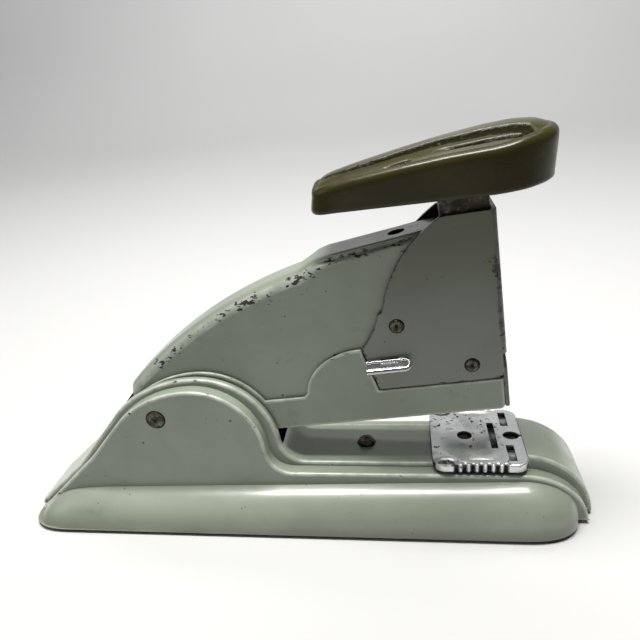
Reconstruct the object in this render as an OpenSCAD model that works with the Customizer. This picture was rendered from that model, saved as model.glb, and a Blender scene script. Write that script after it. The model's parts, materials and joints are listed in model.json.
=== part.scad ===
// Plunger desk stapler. X runs from the rear to the nose, Y across, Z up.
// The origin is the middle of the base's footprint, on the surface it stands on.
// Side profiles are drawn in millimetres from the rear end of the base.

/* [Base] */
// Length of the base
base_len = 190; // [180:1:228]
// Width of the base across the skirts
base_w = 53.4; // [44.4:0.2:60]
// Height of the flat deck that carries the anvil
deck_h = 19; // [18:0.5:20]
// Thickness of the inner cheek layer beside the slot
cheek_t = 2.4; // [2:0.2:3.2]
// Thickness of the outer cheek panels
panel_t = 4.6; // [3.5:0.1:6]
// Thickness of the pad under the base
pad_t = 1; // [0.6:0.1:1.2]
// Thickness of the deck plate
deck_t = 3; // [2.5:0.5:3.5]

/* [Pivot] */
// Distance of the pivot from the rear end
pivot_x = 51.7; // [50:0.1:53]
// Height of the pivot
pivot_z = 38; // [37:0.5:39]
// Diameter of the pivot pin
pin_d = 4.8; // [4:0.2:5.8]
// Angle that the magazine stands open at rest
open_angle = 6; // [5:0.5:6.5]

/* [Magazine] */
// Room between the staples and each side plate
side_room = 1.45; // [1.3:0.05:2.2]
// Thickness of the magazine sheet
mag_t = 1.2; // [1:0.1:1.3]
// Height of the magazine floor's underside with the magazine level
mag_floor_z = 26; // [25.5:0.5:26.5]
// Height of the side plates ahead of the lobes
mag_h = 10.6; // [10:0.2:10.8]
// Crown width of the staples
crown_w = 12.7; // [11.5:0.1:14]
// Length of the strip of staples
strip_len = 25; // [10:1:30]

/* [Arm and head] */
// Thickness of the cover sheet
cover_t = 0.9; // [0.7:0.1:1]
// Height of the top edge of the head
head_top = 88.8; // [86:0.2:89]
// Diameter of the oil hole in the cover
oil_hole_d = 5.2; // [4:0.2:6]
// Angle that the latch turns to let the head go
latch_angle = 12; // [10:1:12]

/* [Plunger and handle] */
// Stroke of the plunger
stroke = 10; // [8:0.5:10]
// Length of the plunger along X
plunger_len = 13.8; // [12.8:0.2:16]
// Thickness of the driver blade
blade_t = 0.8; // [0.6:0.1:0.8]
// Height of the handle's lower edge
handle_z = 94.4; // [94:0.2:95]
// Width of the handle at its broad front end
handle_w = 34; // [30:1:38]
// Wall of the handle shell
handle_wall = 3; // [2.5:0.5:3.5]

/* [Anvil] */
// Length of the anvil plate
anvil_len = 29.5; // [28:0.5:30]
// Width of the anvil plate
anvil_w = 33.4; // [32:0.2:34]
// Thickness of the anvil plate
anvil_t = 2.9; // [2.5:0.1:3]
// Distance between the two rows of clinch slots
anvil_travel = 4.7; // [4:0.1:4.8]

/* [Hidden] */
$fn = 48;

fit = 0.05;                            // radial clearance of a pin in its bore
gap = 0.3;                             // clearance between sheets that slide past each other
eps = 1;                               // overrun of a cutting solid
big = 400;                             // longer than the part
pin_r = pin_d / 2;
mag_w = crown_w + 2 * (side_room + mag_t);
cover_w = mag_w - 2 * (mag_t + gap);
base_half = base_w / 2;
mag_half = mag_w / 2;
mag_in = mag_half - mag_t;
cover_half = cover_w / 2;
cover_in = cover_half - cover_t;
chan_half = mag_half + gap + 0.1;      // half of the slot between the cheeks
chan_floor = 14;
deck_w = 2 * (chan_half + cheek_t);
panel_w = deck_w + 2 * panel_t;
deck_half = deck_w / 2;
panel_half = panel_w / 2;
hump_x = pivot_x + 13.3;               // middle of the cheeks' hump
chan_rear = pivot_x - 27.7;
chan_front = hump_x + 32;
deck_under = deck_h - deck_t;
ledge_h = deck_h - 1.4;                // step between the deck and the panel layer
nose_x = base_len - 23;                // centre of the nose's quarter ellipse
nose_rise = 22;
nose_low = 5;                          // angle where the nose curve meets the pad
step_x = nose_x + 2.5;                 // the anvil stops against this step
anvil_x = step_x - 0.3 - anvil_len;
anvil_z = deck_h + 0.05;
anvil_row = anvil_x + 20;              // row of clinch slots under the blade
stem_x = anvil_x + 11;
stem_r = 2.4;
rivet_x = stem_x - 32.7;
mag_front = anvil_row + 1.8;
head_shift = mag_front - 161.5;        // the head is drawn for a magazine that ends at 161.5
mag_top = mag_floor_z + mag_h;
mag_in_z = mag_floor_z + mag_t;
seam_low = [head_shift + 123.9, mag_top];
seam_high = [head_shift + 120.2, 51.5];
head_front = mag_front + 1.7;
head_wall = 1.2;
blade_x = mag_front - 1.3;             // rear face of the driver blade
plunger_x = head_front - head_wall - gap - plunger_len;
plunger_mid = plunger_x + plunger_len / 2 - 1;
cover_front = plunger_x - 1.4;
spring_r = 4;
spring_low = 50;
plunger_low = spring_low + stroke + 2; // stops 2 short of the spring's seat
plunger_high = head_top + stroke + 0.8;
spring_high = plunger_high - 16;
leg_in = crown_w / 2 - 0.5;
rail_half = leg_in - 0.1;
rail_low = mag_in_z;
rail_top = rail_low + 6.2;
rod_z = rail_low + 2.7;
rod_r = 1.3;
strip_front = blade_x - 0.2;
strip_rear = strip_front - strip_len;
follower_len = 6;
follower_back = strip_rear - follower_len - 0.2;
rod_x = pivot_x + 14.3;                // rear end of the follower's rod
rear_rivet_at = [head_shift + 131.9, 57.7];
front_rivet_at = [head_shift + 152.7, 42.2];
rivet_r = 1.6;
catch_at = rear_rivet_at + [-13.9, -18.2];
catch_r = 1.5;
tab_rear = -6.5;                       // ends of the latch's neck, from its rivet
tab_front = -0.7;

// Points of an arc of an ellipse with radii a and b around c
function arc(c, a, b, from, to, n = 14) =
    [for (i = [0 : n]) let (t = from + (to - from) * i / n) [c[0] + a * cos(t), c[1] + b * sin(t)]];

// Stands a side profile upright and gives it a width across Y
module side(width, y = 0) {
    translate([0, y, 0]) rotate([90, 0, 0]) linear_extrude(height = width, center = true) children();
}

// Lays a cylinder along Y
module across(r, len, at, y = 0) {
    translate([at[0], y, at[1]]) rotate([90, 0, 0]) cylinder(r = r, h = len, center = true);
}

// A box given by its low and high corners
module box(low, high) {
    translate(low) cube(high - low);
}

// Moves the drawing from the rear end of the base to its middle
module placed() {
    translate([-base_len / 2, 0, 0]) children();
}

// Turns what is drawn level about the pivot to its open rest
module opened() {
    placed() translate([pivot_x, 0, pivot_z]) rotate([0, -open_angle, 0])
        translate([-pivot_x, 0, -pivot_z]) children();
}

// Domed head on a cylinder's end, standing on z = 0
module dome(r, h) {
    ball = (r * r + h * h) / (2 * h);
    intersection() {
        translate([0, 0, h - ball]) sphere(r = ball);
        cylinder(r = r, h = h);
    }
}

// Cross rivet with a dome on each side
module cross_rivet(at, half, shank, head, rise) {
    across(shank, 2 * half, at);
    for (s = [-1, 1])
        translate([at[0], s * half, at[1]]) rotate([-s * 90, 0, 0]) dome(head, rise);
}

// Coil spring along Z from z = 0: wire rings on a thin sleeve
module coil(r, wire, h, pitch) {
    turns = floor((h - wire) / pitch);
    step = (h - wire) / turns;
    for (i = [0 : turns])
        translate([0, 0, wire / 2 + i * step])
            rotate_extrude() translate([r - wire / 2, 0]) circle(d = wire, $fn = 16);
    difference() {
        translate([0, 0, wire / 2]) cylinder(r = r - wire * 0.35, h = h - wire);
        cylinder(r = r - wire * 0.65, h = h);
    }
}

// Deck, inner cheeks and nose as one side profile
module deck_profile() {
    polygon(concat(
        [[0, pad_t], [18.5, 16.6]],
        arc([hump_x, 9.9], 39.9, 39.9, 136.5, 90),
        arc([hump_x, 24.3], 25.5, 25.5, 86, 8),
        arc([hump_x + 34.3, deck_h + 9], 9, 9, 184, 270, 8),
        [[step_x, deck_h]],
        arc([nose_x, 0], base_len - nose_x, nose_rise, 83.8, nose_low),
        [[base_len, pad_t]]));
}

// Outer cheek panel, ledge and nose as one side profile
module panel_profile() {
    polygon(concat(
        [[3, pad_t], [25.7, 22.2]],
        arc([hump_x - 0.5, 11.5], 36.3, 36.3, 136, 90),
        arc([hump_x - 1, 25.4], 22.4, 22.4, 86, 6),
        arc([hump_x + 29.8, ledge_h + 8], 8, 8, 186, 270, 8),
        arc([nose_x, 0], base_len - nose_x - 2, ledge_h, 90, nose_low),
        [[base_len - 2, pad_t]]));
}

// Side skirts: an arched section that rises to the front, with rounded ends
module skirt() {
    arch_r = 13.1;
    arch_y = base_half - arch_r;
    rise = 1.83;
    rear_r = 14;
    front_r = 11;
    skirt_len = base_len - 5.2;
    intersection() {
        translate([base_len / 2, 0, 0.6]) rotate([0, -rise, 0]) rotate([90, 0, 90])
            linear_extrude(height = big, center = true)
                polygon(concat([[base_half, -12]], arc([arch_y, 0], arch_r, arch_r, 0, 80),
                    arc([-arch_y, 0], arch_r, arch_r, 100, 180), [[-base_half, -12]]));
        translate([0, 0, pad_t]) linear_extrude(height = 20)
            polygon(concat(
                arc([rear_r, -base_half + rear_r], rear_r, rear_r, 180, 270, 10),
                arc([skirt_len - front_r, -base_half + front_r], front_r, front_r, 270, 360, 10),
                arc([skirt_len - front_r, base_half - front_r], front_r, front_r, 0, 90, 10),
                arc([rear_r, base_half - rear_r], rear_r, rear_r, 90, 180, 10)));
        side(big) polygon(concat(
            [[0, 0]], arc([20, 0], 20, 12, 180, 120, 8), [[12, 20], [skirt_len - 20, 20]],
            arc([skirt_len - 19, 0], 19, 17.4, 80, 0, 10)));
    }
}

// Bores and cavities of the casting
module base_cuts() {
    box([chan_rear, -chan_half, chan_floor], [chan_front, chan_half, 80]);
    across(pin_r + fit, big, [pivot_x, pivot_z]);
    side(2 * chan_half) polygon([[14, 0], [22, 8], [29, 11], [chan_front - 1, 11],
        [chan_front + 4, deck_under], [nose_x - 1, deck_under], [base_len - 12, 9], [base_len - 8, 0]]);
    box([18, -base_half + 7, 0], [base_len - 18, base_half - 7, 7.5]);
    translate([rivet_x, 0, 0]) cylinder(r = rivet_r + fit, h = 30);
    box([stem_x - anvil_travel - stem_r - 0.2, -stem_r - 0.1, 0], [stem_x + stem_r + 0.2, stem_r + 0.1, 30]);
}

module base_casting() {
    color([0.52, 0.56, 0.49]) placed() difference() {
        union() {
            side(deck_w) deck_profile();
            side(panel_w) panel_profile();
            skirt();
        }
        base_cuts();
    }
}

module base_pad() {
    inset = 0.8;
    corner = 11;
    x0 = inset + corner;
    x1 = base_len - 5.2 - inset - corner;
    y1 = base_half - inset - corner;
    color([0.08, 0.08, 0.08]) placed() linear_extrude(height = pad_t) union() {
        for (x = [x0, x1], y = [-y1, y1]) translate([x, y]) circle(r = corner);
        translate([x0, -y1 - corner]) square([x1 - x0, 2 * (y1 + corner)]);
        translate([x0 - corner, -y1]) square([x1 - x0 + 2 * corner, 2 * y1]);
        translate([x1, -deck_half + inset]) square([base_len - inset - x1, deck_w - 2 * inset]);
    }
}

module pivot_pin() {
    color([0.36, 0.35, 0.31]) placed()
        cross_rivet([pivot_x, pivot_z], panel_half, pin_r, 3.3, 0.9);
}

module pivot_bushing() {
    color([0.6, 0.58, 0.5]) placed() difference() {
        across(pin_r + 1.6, 2 * cover_in - 0.4, [pivot_x, pivot_z]);
        across(pin_r + fit, big, [pivot_x, pivot_z]);
    }
}

module deck_rivet() {
    color([0.3, 0.28, 0.25]) placed() translate([rivet_x, 0, 0]) {
        translate([0, 0, deck_h]) dome(3.4, 1.9);
        translate([0, 0, deck_under - 1.6]) cylinder(r = rivet_r, h = deck_t + 1.6);
        translate([0, 0, deck_under - 2.4]) cylinder(r = 2.6, h = 1.6);
    }
}

module anvil_spring() {
    leaf = 0.8;
    z0 = deck_under - leaf;
    z1 = deck_under - 2.6;
    color([0.55, 0.56, 0.58]) placed() difference() {
        side(10) polygon([[rivet_x - 6, z0], [rivet_x + 8, z0], [rivet_x + 15, z1], [stem_x + 6, z1],
            [stem_x + 6, z1 + leaf], [rivet_x + 15, z1 + leaf], [rivet_x + 8, z0 + leaf],
            [rivet_x - 6, z0 + leaf]]);
        translate([rivet_x, 0, 0]) cylinder(r = rivet_r + fit, h = 30);
    }
}

module lift_spring() {
    spring_h = 13.7;
    color([0.5, 0.51, 0.53]) placed() translate([pivot_x + 25.3, 0, chan_floor])
        coil(4.6, 1.1, spring_h, 2.1);
}

module anvil_plate() {
    tooth = 0.55;
    corner = 4;
    half = anvil_w / 2;
    slot_half = crown_w / 2 + 1.25;
    outer_y = crown_w / 2 + 3.65;
    color([0.75, 0.76, 0.76]) placed() difference() {
        translate([0, 0, anvil_z]) linear_extrude(height = anvil_t) union() {
            for (x = [anvil_x + corner, anvil_x + anvil_len - corner], y = [-half + corner, half - corner])
                translate([x, y]) circle(r = corner);
            translate([anvil_x + corner, -half]) square([anvil_len - 2 * corner, anvil_w]);
            translate([anvil_x, -half + corner]) square([anvil_len, anvil_w - 2 * corner]);
        }
        for (s = [-1, 1], i = [0 : 6])
            translate([anvil_x + 7.2 + 2.5 * i, s * half, 0]) cylinder(r = tooth, h = 40, $fn = 16);
        box([anvil_row - 1.1, -slot_half, 0], [anvil_row + 1.1, slot_half, 40]);
        for (s = [-1, 1])
            translate([anvil_row + anvil_travel, s * outer_y, 20]) cube([2.5, 8.6, 40], center = true);
        translate([stem_x, 0, 0]) cylinder(r = stem_r, h = 40);
        translate([anvil_row + anvil_travel + 1.2, 0, 0]) cylinder(r = 2.3, h = 40);
    }
}

module anvil_stem() {
    color([0.2, 0.2, 0.2]) placed() translate([stem_x, 0, 0]) {
        translate([0, 0, deck_under - 1.7]) cylinder(r = stem_r - 0.02, h = deck_t + 1.7 + anvil_t - 0.8);
        translate([0, 0, deck_under - 1.7]) cylinder(r = 4.6, h = 1.6);
    }
}

// One side plate of the magazine: rear ear, low strip and front lobe
module magazine_profile() {
    polygon(concat(
        arc([mag_front - 1.5, mag_floor_z + 1.5], 1.5, 1.5, 270, 360, 4),
        [[mag_front, mag_top], seam_low - [0.2, 0], seam_high - [0.2, 0.4]],
        arc([head_shift + 119.5, mag_top], 18.7, 14.5, 92, 174),
        [[hump_x + 34.6, mag_top]],
        arc([hump_x - 0.5, 24.4], 25.2, 25.2, 29, 88),
        arc([hump_x - 0.5, 12.2], 37.4, 37.4, 92, 125, 8),
        arc([pivot_x, pivot_z], 9.9, 9.9, 151, 268),
        [[rod_x, mag_floor_z]]));
}

module magazine_channel() {
    color([0.5, 0.54, 0.47]) opened() difference() {
        union() {
            for (s = [-1, 1]) side(mag_t, s * (mag_half - mag_t / 2)) magazine_profile();
            box([rod_x, -mag_in - 0.1, mag_floor_z], [mag_front - 1.4, mag_in + 0.1, mag_in_z]);
        }
        across(pin_r + fit, big, [pivot_x, pivot_z]);
        across(catch_r, big, catch_at);
        box([blade_x - 0.3, -crown_w / 2 - 0.2, 0], [mag_front + eps, crown_w / 2 + 0.2, mag_in_z + eps]);
    }
}

module nose_plate() {
    top_r = 5;
    width = mag_w - 0.4;
    plate_t = 1.4;
    z1 = mag_top + 7.8;
    color([0.5, 0.54, 0.47]) opened() translate([mag_front + plate_t, 0, 0]) rotate([90, 0, -90])
        linear_extrude(height = plate_t) union() {
            for (s = [-1, 1]) translate([s * (width / 2 - top_r), z1 - top_r]) circle(r = top_r);
            translate([-width / 2 + top_r, z1 - top_r]) square([width - 2 * top_r, top_r]);
            translate([-width / 2, mag_floor_z + 0.8]) square([width, z1 - top_r - mag_floor_z - 0.8]);
        }
}

module staple_rail() {
    x0 = rod_x + 6;
    x1 = blade_x - 0.5;
    sheet = 0.6;
    color([0.62, 0.63, 0.64]) opened() difference() {
        box([x0, -rail_half, rail_low], [x1, rail_half, rail_top]);
        box([x0 - eps, -rail_half + sheet, rail_low - eps], [x1 + eps, rail_half - sheet, rail_top - sheet]);
        box([x0 - eps, -1.2, rail_low], [x1 - 4, 1.2, rail_top + eps]);
    }
}

module staple_strip() {
    crown_z = rail_top + 0.1;
    groove = 0.12;
    color([0.7, 0.71, 0.73]) opened() difference() {
        box([strip_rear, -crown_w / 2, rail_low + 0.2], [strip_front, crown_w / 2, crown_z + 0.5]);
        box([strip_rear - eps, -leg_in, rail_low - eps], [strip_front + eps, leg_in, crown_z]);
        for (x = [strip_rear + 2.5 : 2.5 : strip_front - 1])
            box([x - groove, -crown_w, crown_z + 0.4], [x + groove, crown_w, crown_z + eps]);
    }
}

module follower_rod() {
    color([0.66, 0.67, 0.68]) opened() translate([rod_x, 0, rod_z]) rotate([0, 90, 0]) {
        cylinder(r = rod_r, h = blade_x - 0.6 - rod_x);
        cylinder(r = 2.1, h = 1.6);
    }
}

module rod_bracket() {
    color([0.6, 0.61, 0.6]) opened() difference() {
        box([rod_x + 2.4, -leg_in - 0.35, rail_low], [rod_x + 3.8, leg_in + 0.35, rail_low + 7.4]);
        translate([rod_x - 6, 0, rod_z]) rotate([0, 90, 0]) cylinder(r = rod_r, h = 20);
    }
}

module follower_spring() {
    color([0.6, 0.6, 0.62]) opened() translate([rod_x + 3.9, 0, rod_z]) rotate([0, 90, 0])
        coil(2.3, 0.6, follower_back - rod_x - 4, 2.2);
}

module latch_catch() {
    color([0.6, 0.6, 0.58]) opened() cross_rivet(catch_at, mag_half - 0.05, catch_r, catch_r, 0.2);
}

module follower() {
    x0 = follower_back;
    x1 = follower_back + follower_len;
    crown_z = rail_top + 0.1;
    color([0.55, 0.56, 0.57]) opened() difference() {
        union() {
            difference() {
                box([x0, -crown_w / 2, rail_low + 0.3], [x1, crown_w / 2, crown_z + 1]);
                box([x0 - eps, -leg_in, 0], [x1 + eps, leg_in, crown_z]);
            }
            box([x0, -1, rod_z + 1.6], [x1, 1, crown_z + 1]);
            box([x0, -4, rail_low + 0.4], [x1, 4, rod_z + 2.5]);
        }
        translate([x0 - eps, 0, rod_z]) rotate([0, 90, 0]) cylinder(r = rod_r + fit, h = 20);
    }
}

// Spine of the arm cover, t below its outer face
function spine(t) = let (long = (head_front - pivot_x - 43) / 68.5) concat(
    arc([pivot_x - 15.54 + 98.94 * long, -63], 144 * long - t, 144 - t, 130.5, 102.2, 24),
    [[head_shift + 110, 80.6 - t], [cover_front, 85.4 - t]]);

module arm_cover() {
    tail_in = pivot_x - 8.8;
    color([0.5, 0.54, 0.47]) opened() difference() {
        side(cover_w) polygon(concat(spine(0),
            [[cover_front, 50], [head_shift + 111, 50], [head_shift + 111, 34.2], [pivot_x + 6.3, 34.2]],
            [for (p = [[3.3, 30], [-4.7, 29.6], [-8.6, 33.2], [-10.3, 38]]) [pivot_x + p[0], p[1]]]));
        side(2 * cover_in) polygon(concat([[tail_in, 20], [tail_in, 42]],
            [for (p = spine(cover_t)) if (p[0] > tail_in + 0.1) p],
            [[cover_front + 3.5, 85.9 - cover_t], [cover_front + 3.5, 20]]));
        across(pin_r + fit, big, [pivot_x, pivot_z]);
        across(rivet_r, big, rear_rivet_at);
        translate([head_shift + 135, 0, 70]) cylinder(r = oil_hole_d / 2, h = 30);
    }
}

// Side plates and front wall of the head
module head_profile() {
    polygon(concat(
        [[head_front, head_top]],
        arc([head_front + 4.9, head_top - 35.5], 41, 41, 120, 167),
        arc([head_front - 63.6, head_top - 18.3], 28.4, 28.4, -16, -41, 8),
        [seam_high + [0.2, 0], seam_low + [0.2, gap], [mag_front - 2, mag_top + gap],
            [mag_front - 0.2, mag_top + 1.8], [mag_front - 0.2, mag_top + 8.2],
            [head_front, mag_top + 8.2]]));
}

module head_housing() {
    color([0.48, 0.52, 0.44]) opened() difference() {
        side(mag_w) head_profile();
        side(cover_w) square([head_front - head_wall, 120]);
        across(rivet_r, big, rear_rivet_at);
        across(rivet_r, big, front_rivet_at);
        translate([rear_rivet_at[0], 0, rear_rivet_at[1]])
            box([tab_rear - 0.8, -mag_half - eps, -13.3],
                [tab_front + 11.9 * sin(latch_angle) + 1.33, 0, -9.1]);
    }
}

module rear_rivet() {
    color([0.36, 0.3, 0.25]) opened() cross_rivet(rear_rivet_at, mag_half, rivet_r, 2.4, 0.8);
}

module front_rivet() {
    color([0.36, 0.3, 0.25]) opened() cross_rivet(front_rivet_at, mag_half, rivet_r, 2.4, 0.8);
}

module spring_seat() {
    color([0.55, 0.56, 0.56]) opened() difference() {
        union() {
            box([plunger_x + 0.1, -cover_half, 48], [blade_x - 1.6, cover_half, spring_low]);
            for (s = [-1, 1]) translate([plunger_x + 0.1, s * (cover_half - 0.5) - 0.5, 39.6])
                cube([blade_x - 1.7 - plunger_x, 1, 9]);
            translate([plunger_mid, 0, spring_low]) cylinder(r = 2, h = 3);
        }
        across(rivet_r, big, front_rivet_at);
    }
}

module return_spring() {
    color([0.55, 0.56, 0.58]) opened() translate([plunger_mid, 0, spring_low])
        coil(spring_r, 1.1, spring_high - spring_low, 3.0);
}

module latch_spring() {
    y0 = -4.6;
    color([0.55, 0.56, 0.58]) opened() {
        difference() {
            across(2.9, 8, rear_rivet_at, y0 + 4);
            across(rivet_r + 0.3, big, rear_rivet_at);
        }
        translate([rear_rivet_at[0] - 2.5, y0 + 1, rear_rivet_at[1]]) cylinder(r = 0.4, h = 24.2, $fn = 16);
    }
}

module latch_lever() {
    plate_t = 1;
    y0 = -cover_in + 0.3;
    color([0.78, 0.79, 0.79]) opened() {
        difference() {
            side(plate_t, y0 + plate_t / 2) translate(rear_rivet_at) union() {
                circle(r = 4.2);
                polygon([[-3.9, -1.7], [4.1, -1.7], [0.6, -14.2], [-6.9, -21.1], [-16.3, -21.1],
                    [-16.3, -20.2], [-9.3, -19.8], [-6.7, -15.7]]);
            }
            across(rivet_r + fit, big, rear_rivet_at);
        }
        translate([rear_rivet_at[0], 0, rear_rivet_at[1]]) {
            box([tab_rear, -mag_half - 1, -11.9], [tab_front, y0 + plate_t, -9.9]);
            translate([0, -mag_half - 0.9, 0]) rotate([90, 0, 0]) linear_extrude(height = 3.6) union() {
                translate([0.7, -11.2]) circle(r = 2.3);
                translate([-10.3, -13.5]) square([11, 4.6]);
            }
        }
    }
}

module plunger() {
    x1 = plunger_x + plunger_len;
    color([0.58, 0.57, 0.55]) opened() difference() {
        box([plunger_x, -cover_half + 0.2, plunger_low], [x1, cover_half - 0.2, plunger_high]);
        translate([plunger_mid, 0, plunger_low - eps])
            cylinder(r = spring_r + 0.4, h = spring_high - plunger_low + eps + 2.4);
        translate([plunger_mid, 0, plunger_low]) cylinder(r = 2, h = 60);
        box([blade_x, -crown_w / 2, plunger_low - eps], [x1 + eps, crown_w / 2, plunger_low + 10]);
    }
}

module driver_blade() {
    blade_low = mag_top + 0.6;
    color([0.7, 0.7, 0.7]) opened()
        box([blade_x, -crown_w / 2 + 0.1, blade_low],
            [blade_x + blade_t, crown_w / 2 - 0.1, plunger_low + 10]);
}

// Top line of the handle from its rear to its front
function handle_top() = concat([[head_shift + 112, handle_z]],
    [for (p = [[114.6, 1.6], [117.6, 3.6], [126, 5], [140, 7], [152, 8.6], [164, 9.8], [172, 10.2],
        [177.4, 9], [180.6, 6.6], [181.5, 4]]) [head_shift + p[0], plunger_high + p[1]]]);

// Plan of the handle, drawn inward by t
module handle_plan(t) {
    half = handle_w / 2;
    translate([head_shift, 0]) polygon(concat(
        arc([119, 0], 7 - t, 10.5 - t, 240, 120, 8),
        arc([162, 0], 19.5 - t, half - t, 100, 0, 10),
        arc([162, 0], 19.5 - t, half - t, -10, -100, 9)));
}

module handle() {
    lid = plunger_high;                // underside of the shell's top
    color([0.33, 0.32, 0.17]) opened() difference() {
        intersection() {
            translate([0, 0, handle_z]) linear_extrude(height = 30) handle_plan(0);
            side(2 * handle_w) polygon(concat(handle_top(), [[head_shift + 178.8, handle_z]]));
        }
        difference() {
            intersection() {
                translate([0, 0, handle_z - eps]) linear_extrude(height = 30) handle_plan(handle_wall);
                side(2 * handle_w) translate([head_shift, 0]) polygon([[100, 90], [100, lid - 1.6],
                    [118.5, lid], [168, lid + 6], [180, lid + 6], [180, 90]]);
            }
            box([plunger_x - 1.4, -mag_half, plunger_high], [head_front + 1.6, mag_half, 140]);
        }
        translate([plunger_mid, 0, plunger_high - eps]) cylinder(r = 3.6, h = 7);
        for (s = [-1, 1]) translate([head_shift + 118, s * 6.6, lid + 6.6]) rotate([0, 82.4, s * 3.2])
            cylinder(r = 2.2, h = 54);
    }
}

module handle_insert() {
    color([0.72, 0.6, 0.3]) opened() difference() {
        translate([plunger_mid, 0, plunger_high]) cylinder(r = 3.6, h = 6);
        translate([plunger_mid, 0, plunger_high - eps]) cylinder(r = 2, h = 20);
    }
}

module handle_screw() {
    color([0.6, 0.6, 0.6]) opened() translate([plunger_mid, 0, spring_high]) {
        cylinder(r = 3.5, h = 2.4);
        cylinder(r = 2, h = plunger_high + 5.6 - spring_high);
    }
}

base_casting();
base_pad();
pivot_pin();
pivot_bushing();
deck_rivet();
anvil_spring();
lift_spring();
anvil_plate();
anvil_stem();
magazine_channel();
nose_plate();
staple_rail();
staple_strip();
follower_rod();
rod_bracket();
follower_spring();
latch_catch();
follower();
arm_cover();
head_housing();
rear_rivet();
front_rivet();
spring_seat();
return_spring();
latch_spring();
latch_lever();
plunger();
driver_blade();
handle();
handle_insert();
handle_screw();
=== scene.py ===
import json
import math

import bmesh
import bpy
import numpy as np
from mathutils import Matrix, Vector
from mathutils.geometry import delaunay_2d_cdt


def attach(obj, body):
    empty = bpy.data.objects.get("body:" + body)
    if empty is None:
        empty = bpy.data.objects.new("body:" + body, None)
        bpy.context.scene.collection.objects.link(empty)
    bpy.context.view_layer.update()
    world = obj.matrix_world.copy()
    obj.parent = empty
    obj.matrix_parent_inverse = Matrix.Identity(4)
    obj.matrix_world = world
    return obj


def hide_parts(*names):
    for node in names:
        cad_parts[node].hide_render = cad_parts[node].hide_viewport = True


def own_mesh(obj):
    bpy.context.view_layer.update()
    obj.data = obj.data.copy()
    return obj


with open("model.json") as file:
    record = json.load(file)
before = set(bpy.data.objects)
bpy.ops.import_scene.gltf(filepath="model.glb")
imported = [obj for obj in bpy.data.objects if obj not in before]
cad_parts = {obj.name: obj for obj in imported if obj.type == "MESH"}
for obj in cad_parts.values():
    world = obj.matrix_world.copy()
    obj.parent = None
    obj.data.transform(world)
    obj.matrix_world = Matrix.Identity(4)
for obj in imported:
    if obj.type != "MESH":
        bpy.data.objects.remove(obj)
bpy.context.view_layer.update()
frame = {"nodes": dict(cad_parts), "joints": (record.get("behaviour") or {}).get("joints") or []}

# Plunger desk stapler. Lengths in the dictionaries are millimetres: x from the rear end of the base,
# y across with the latch side negative, z up, with the magazine drawn level.
mm = 0.001
hinge = next(j for j in frame["joints"] if j["name"] == "magazine_hinge")
halfBase = 95.0
layout = {
    "halfBase": halfBase,
    "pivotX": hinge["pos_m"][0] / mm + halfBase,
    "pivotZ": hinge["pos_m"][2] / mm,
    "openAngle": math.radians(6),
}


# places

def placed(points):
    # millimetres from the rear end, moved to the middle of the base and turned into metres
    out = np.array(points, float)
    out[..., 0] -= layout["halfBase"]
    return out * mm


def opened(points):
    # the same after a turn about the pivot: x cos a - z sin a, x sin a + z cos a
    p = np.array(points, float)
    c, s = math.cos(layout["openAngle"]), math.sin(layout["openAngle"])
    dx, dz = p[..., 0] - layout["pivotX"], p[..., 2] - layout["pivotZ"]
    return placed(np.stack([layout["pivotX"] + dx * c - dz * s, p[..., 1],
                            layout["pivotZ"] + dx * s + dz * c], -1))


def upright(p):
    return p[..., [0, 2, 1]]  # an outline in x and z, carried across y


def facing(p):
    return p[..., [2, 0, 1]]  # an outline in y and z, carried along x


# outlines

def arc(centre, a, b, start, end, count=24):
    # points centre + (a cos t, b sin t) for t from start to end in degrees
    t = np.radians(np.linspace(start, end, count + 1))
    return np.stack([centre[0] + a * np.cos(t), centre[1] + b * np.sin(t)], -1)


def chain(*parts):
    # joins outlines end to end and drops points that repeat
    joined = np.concatenate([np.atleast_2d(np.array(p, float)) for p in parts])
    step = np.linalg.norm(joined - np.roll(joined, 1, 0), axis=1)
    return joined[step > 1e-4]


def roundedBox(low, high, radius, count=8):
    # a rectangle between two corners with quarter circles at its corners
    (x0, y0), (x1, y1) = low, high
    return chain(
        arc((x1 - radius, y0 + radius), radius, radius, 270, 360, count),
        arc((x1 - radius, y1 - radius), radius, radius, 0, 90, count),
        arc((x0 + radius, y1 - radius), radius, radius, 90, 180, count),
        arc((x0 + radius, y0 + radius), radius, radius, 180, 270, count))


def inset(outline, distance):
    # each point moves against the sum of its two edges' normals over 1 + their dot, so edges stay parallel
    ahead = np.roll(outline, -1, 0) - outline
    ahead /= np.linalg.norm(ahead, axis=1, keepdims=True)
    nextPoint = np.roll(outline, -1, 0)
    area = np.sum(outline[:, 0] * nextPoint[:, 1] - nextPoint[:, 0] * outline[:, 1])
    normal = np.stack([ahead[:, 1], -ahead[:, 0]], -1) * np.sign(area)
    before = np.roll(normal, 1, 0)
    dot = np.sum(normal * before, axis=1, keepdims=True)
    return outline - (normal + before) / np.maximum(1 + dot, 0.45) * distance


# meshes

def gridQuads(rows, columns, wrap=False, start=0):
    # quad i, j joins points (i, j), (i, j + 1), (i + 1, j + 1) and (i + 1, j); wrap joins the last column to
    # the first
    i, j = np.meshgrid(np.arange(rows - 1), np.arange(columns if wrap else columns - 1), indexing="ij")
    k = (j + 1) % columns
    quads = np.stack([i * columns + j, i * columns + k, (i + 1) * columns + k, (i + 1) * columns + j], -1)
    return (quads.reshape(-1, 4) + start).tolist()


def spread(outline, step=2.5):
    # adds points along straight stretches, so that no edge is longer than the step
    reach = np.linalg.norm(np.roll(outline, -1, 0) - outline, axis=1)
    parts = [start + (end - start) * np.linspace(0, 1, int(np.ceil(long / step)), endpoint=False)[:, None]
             for start, end, long in zip(outline, np.roll(outline, -1, 0), reach)]
    return np.concatenate(parts)


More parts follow.
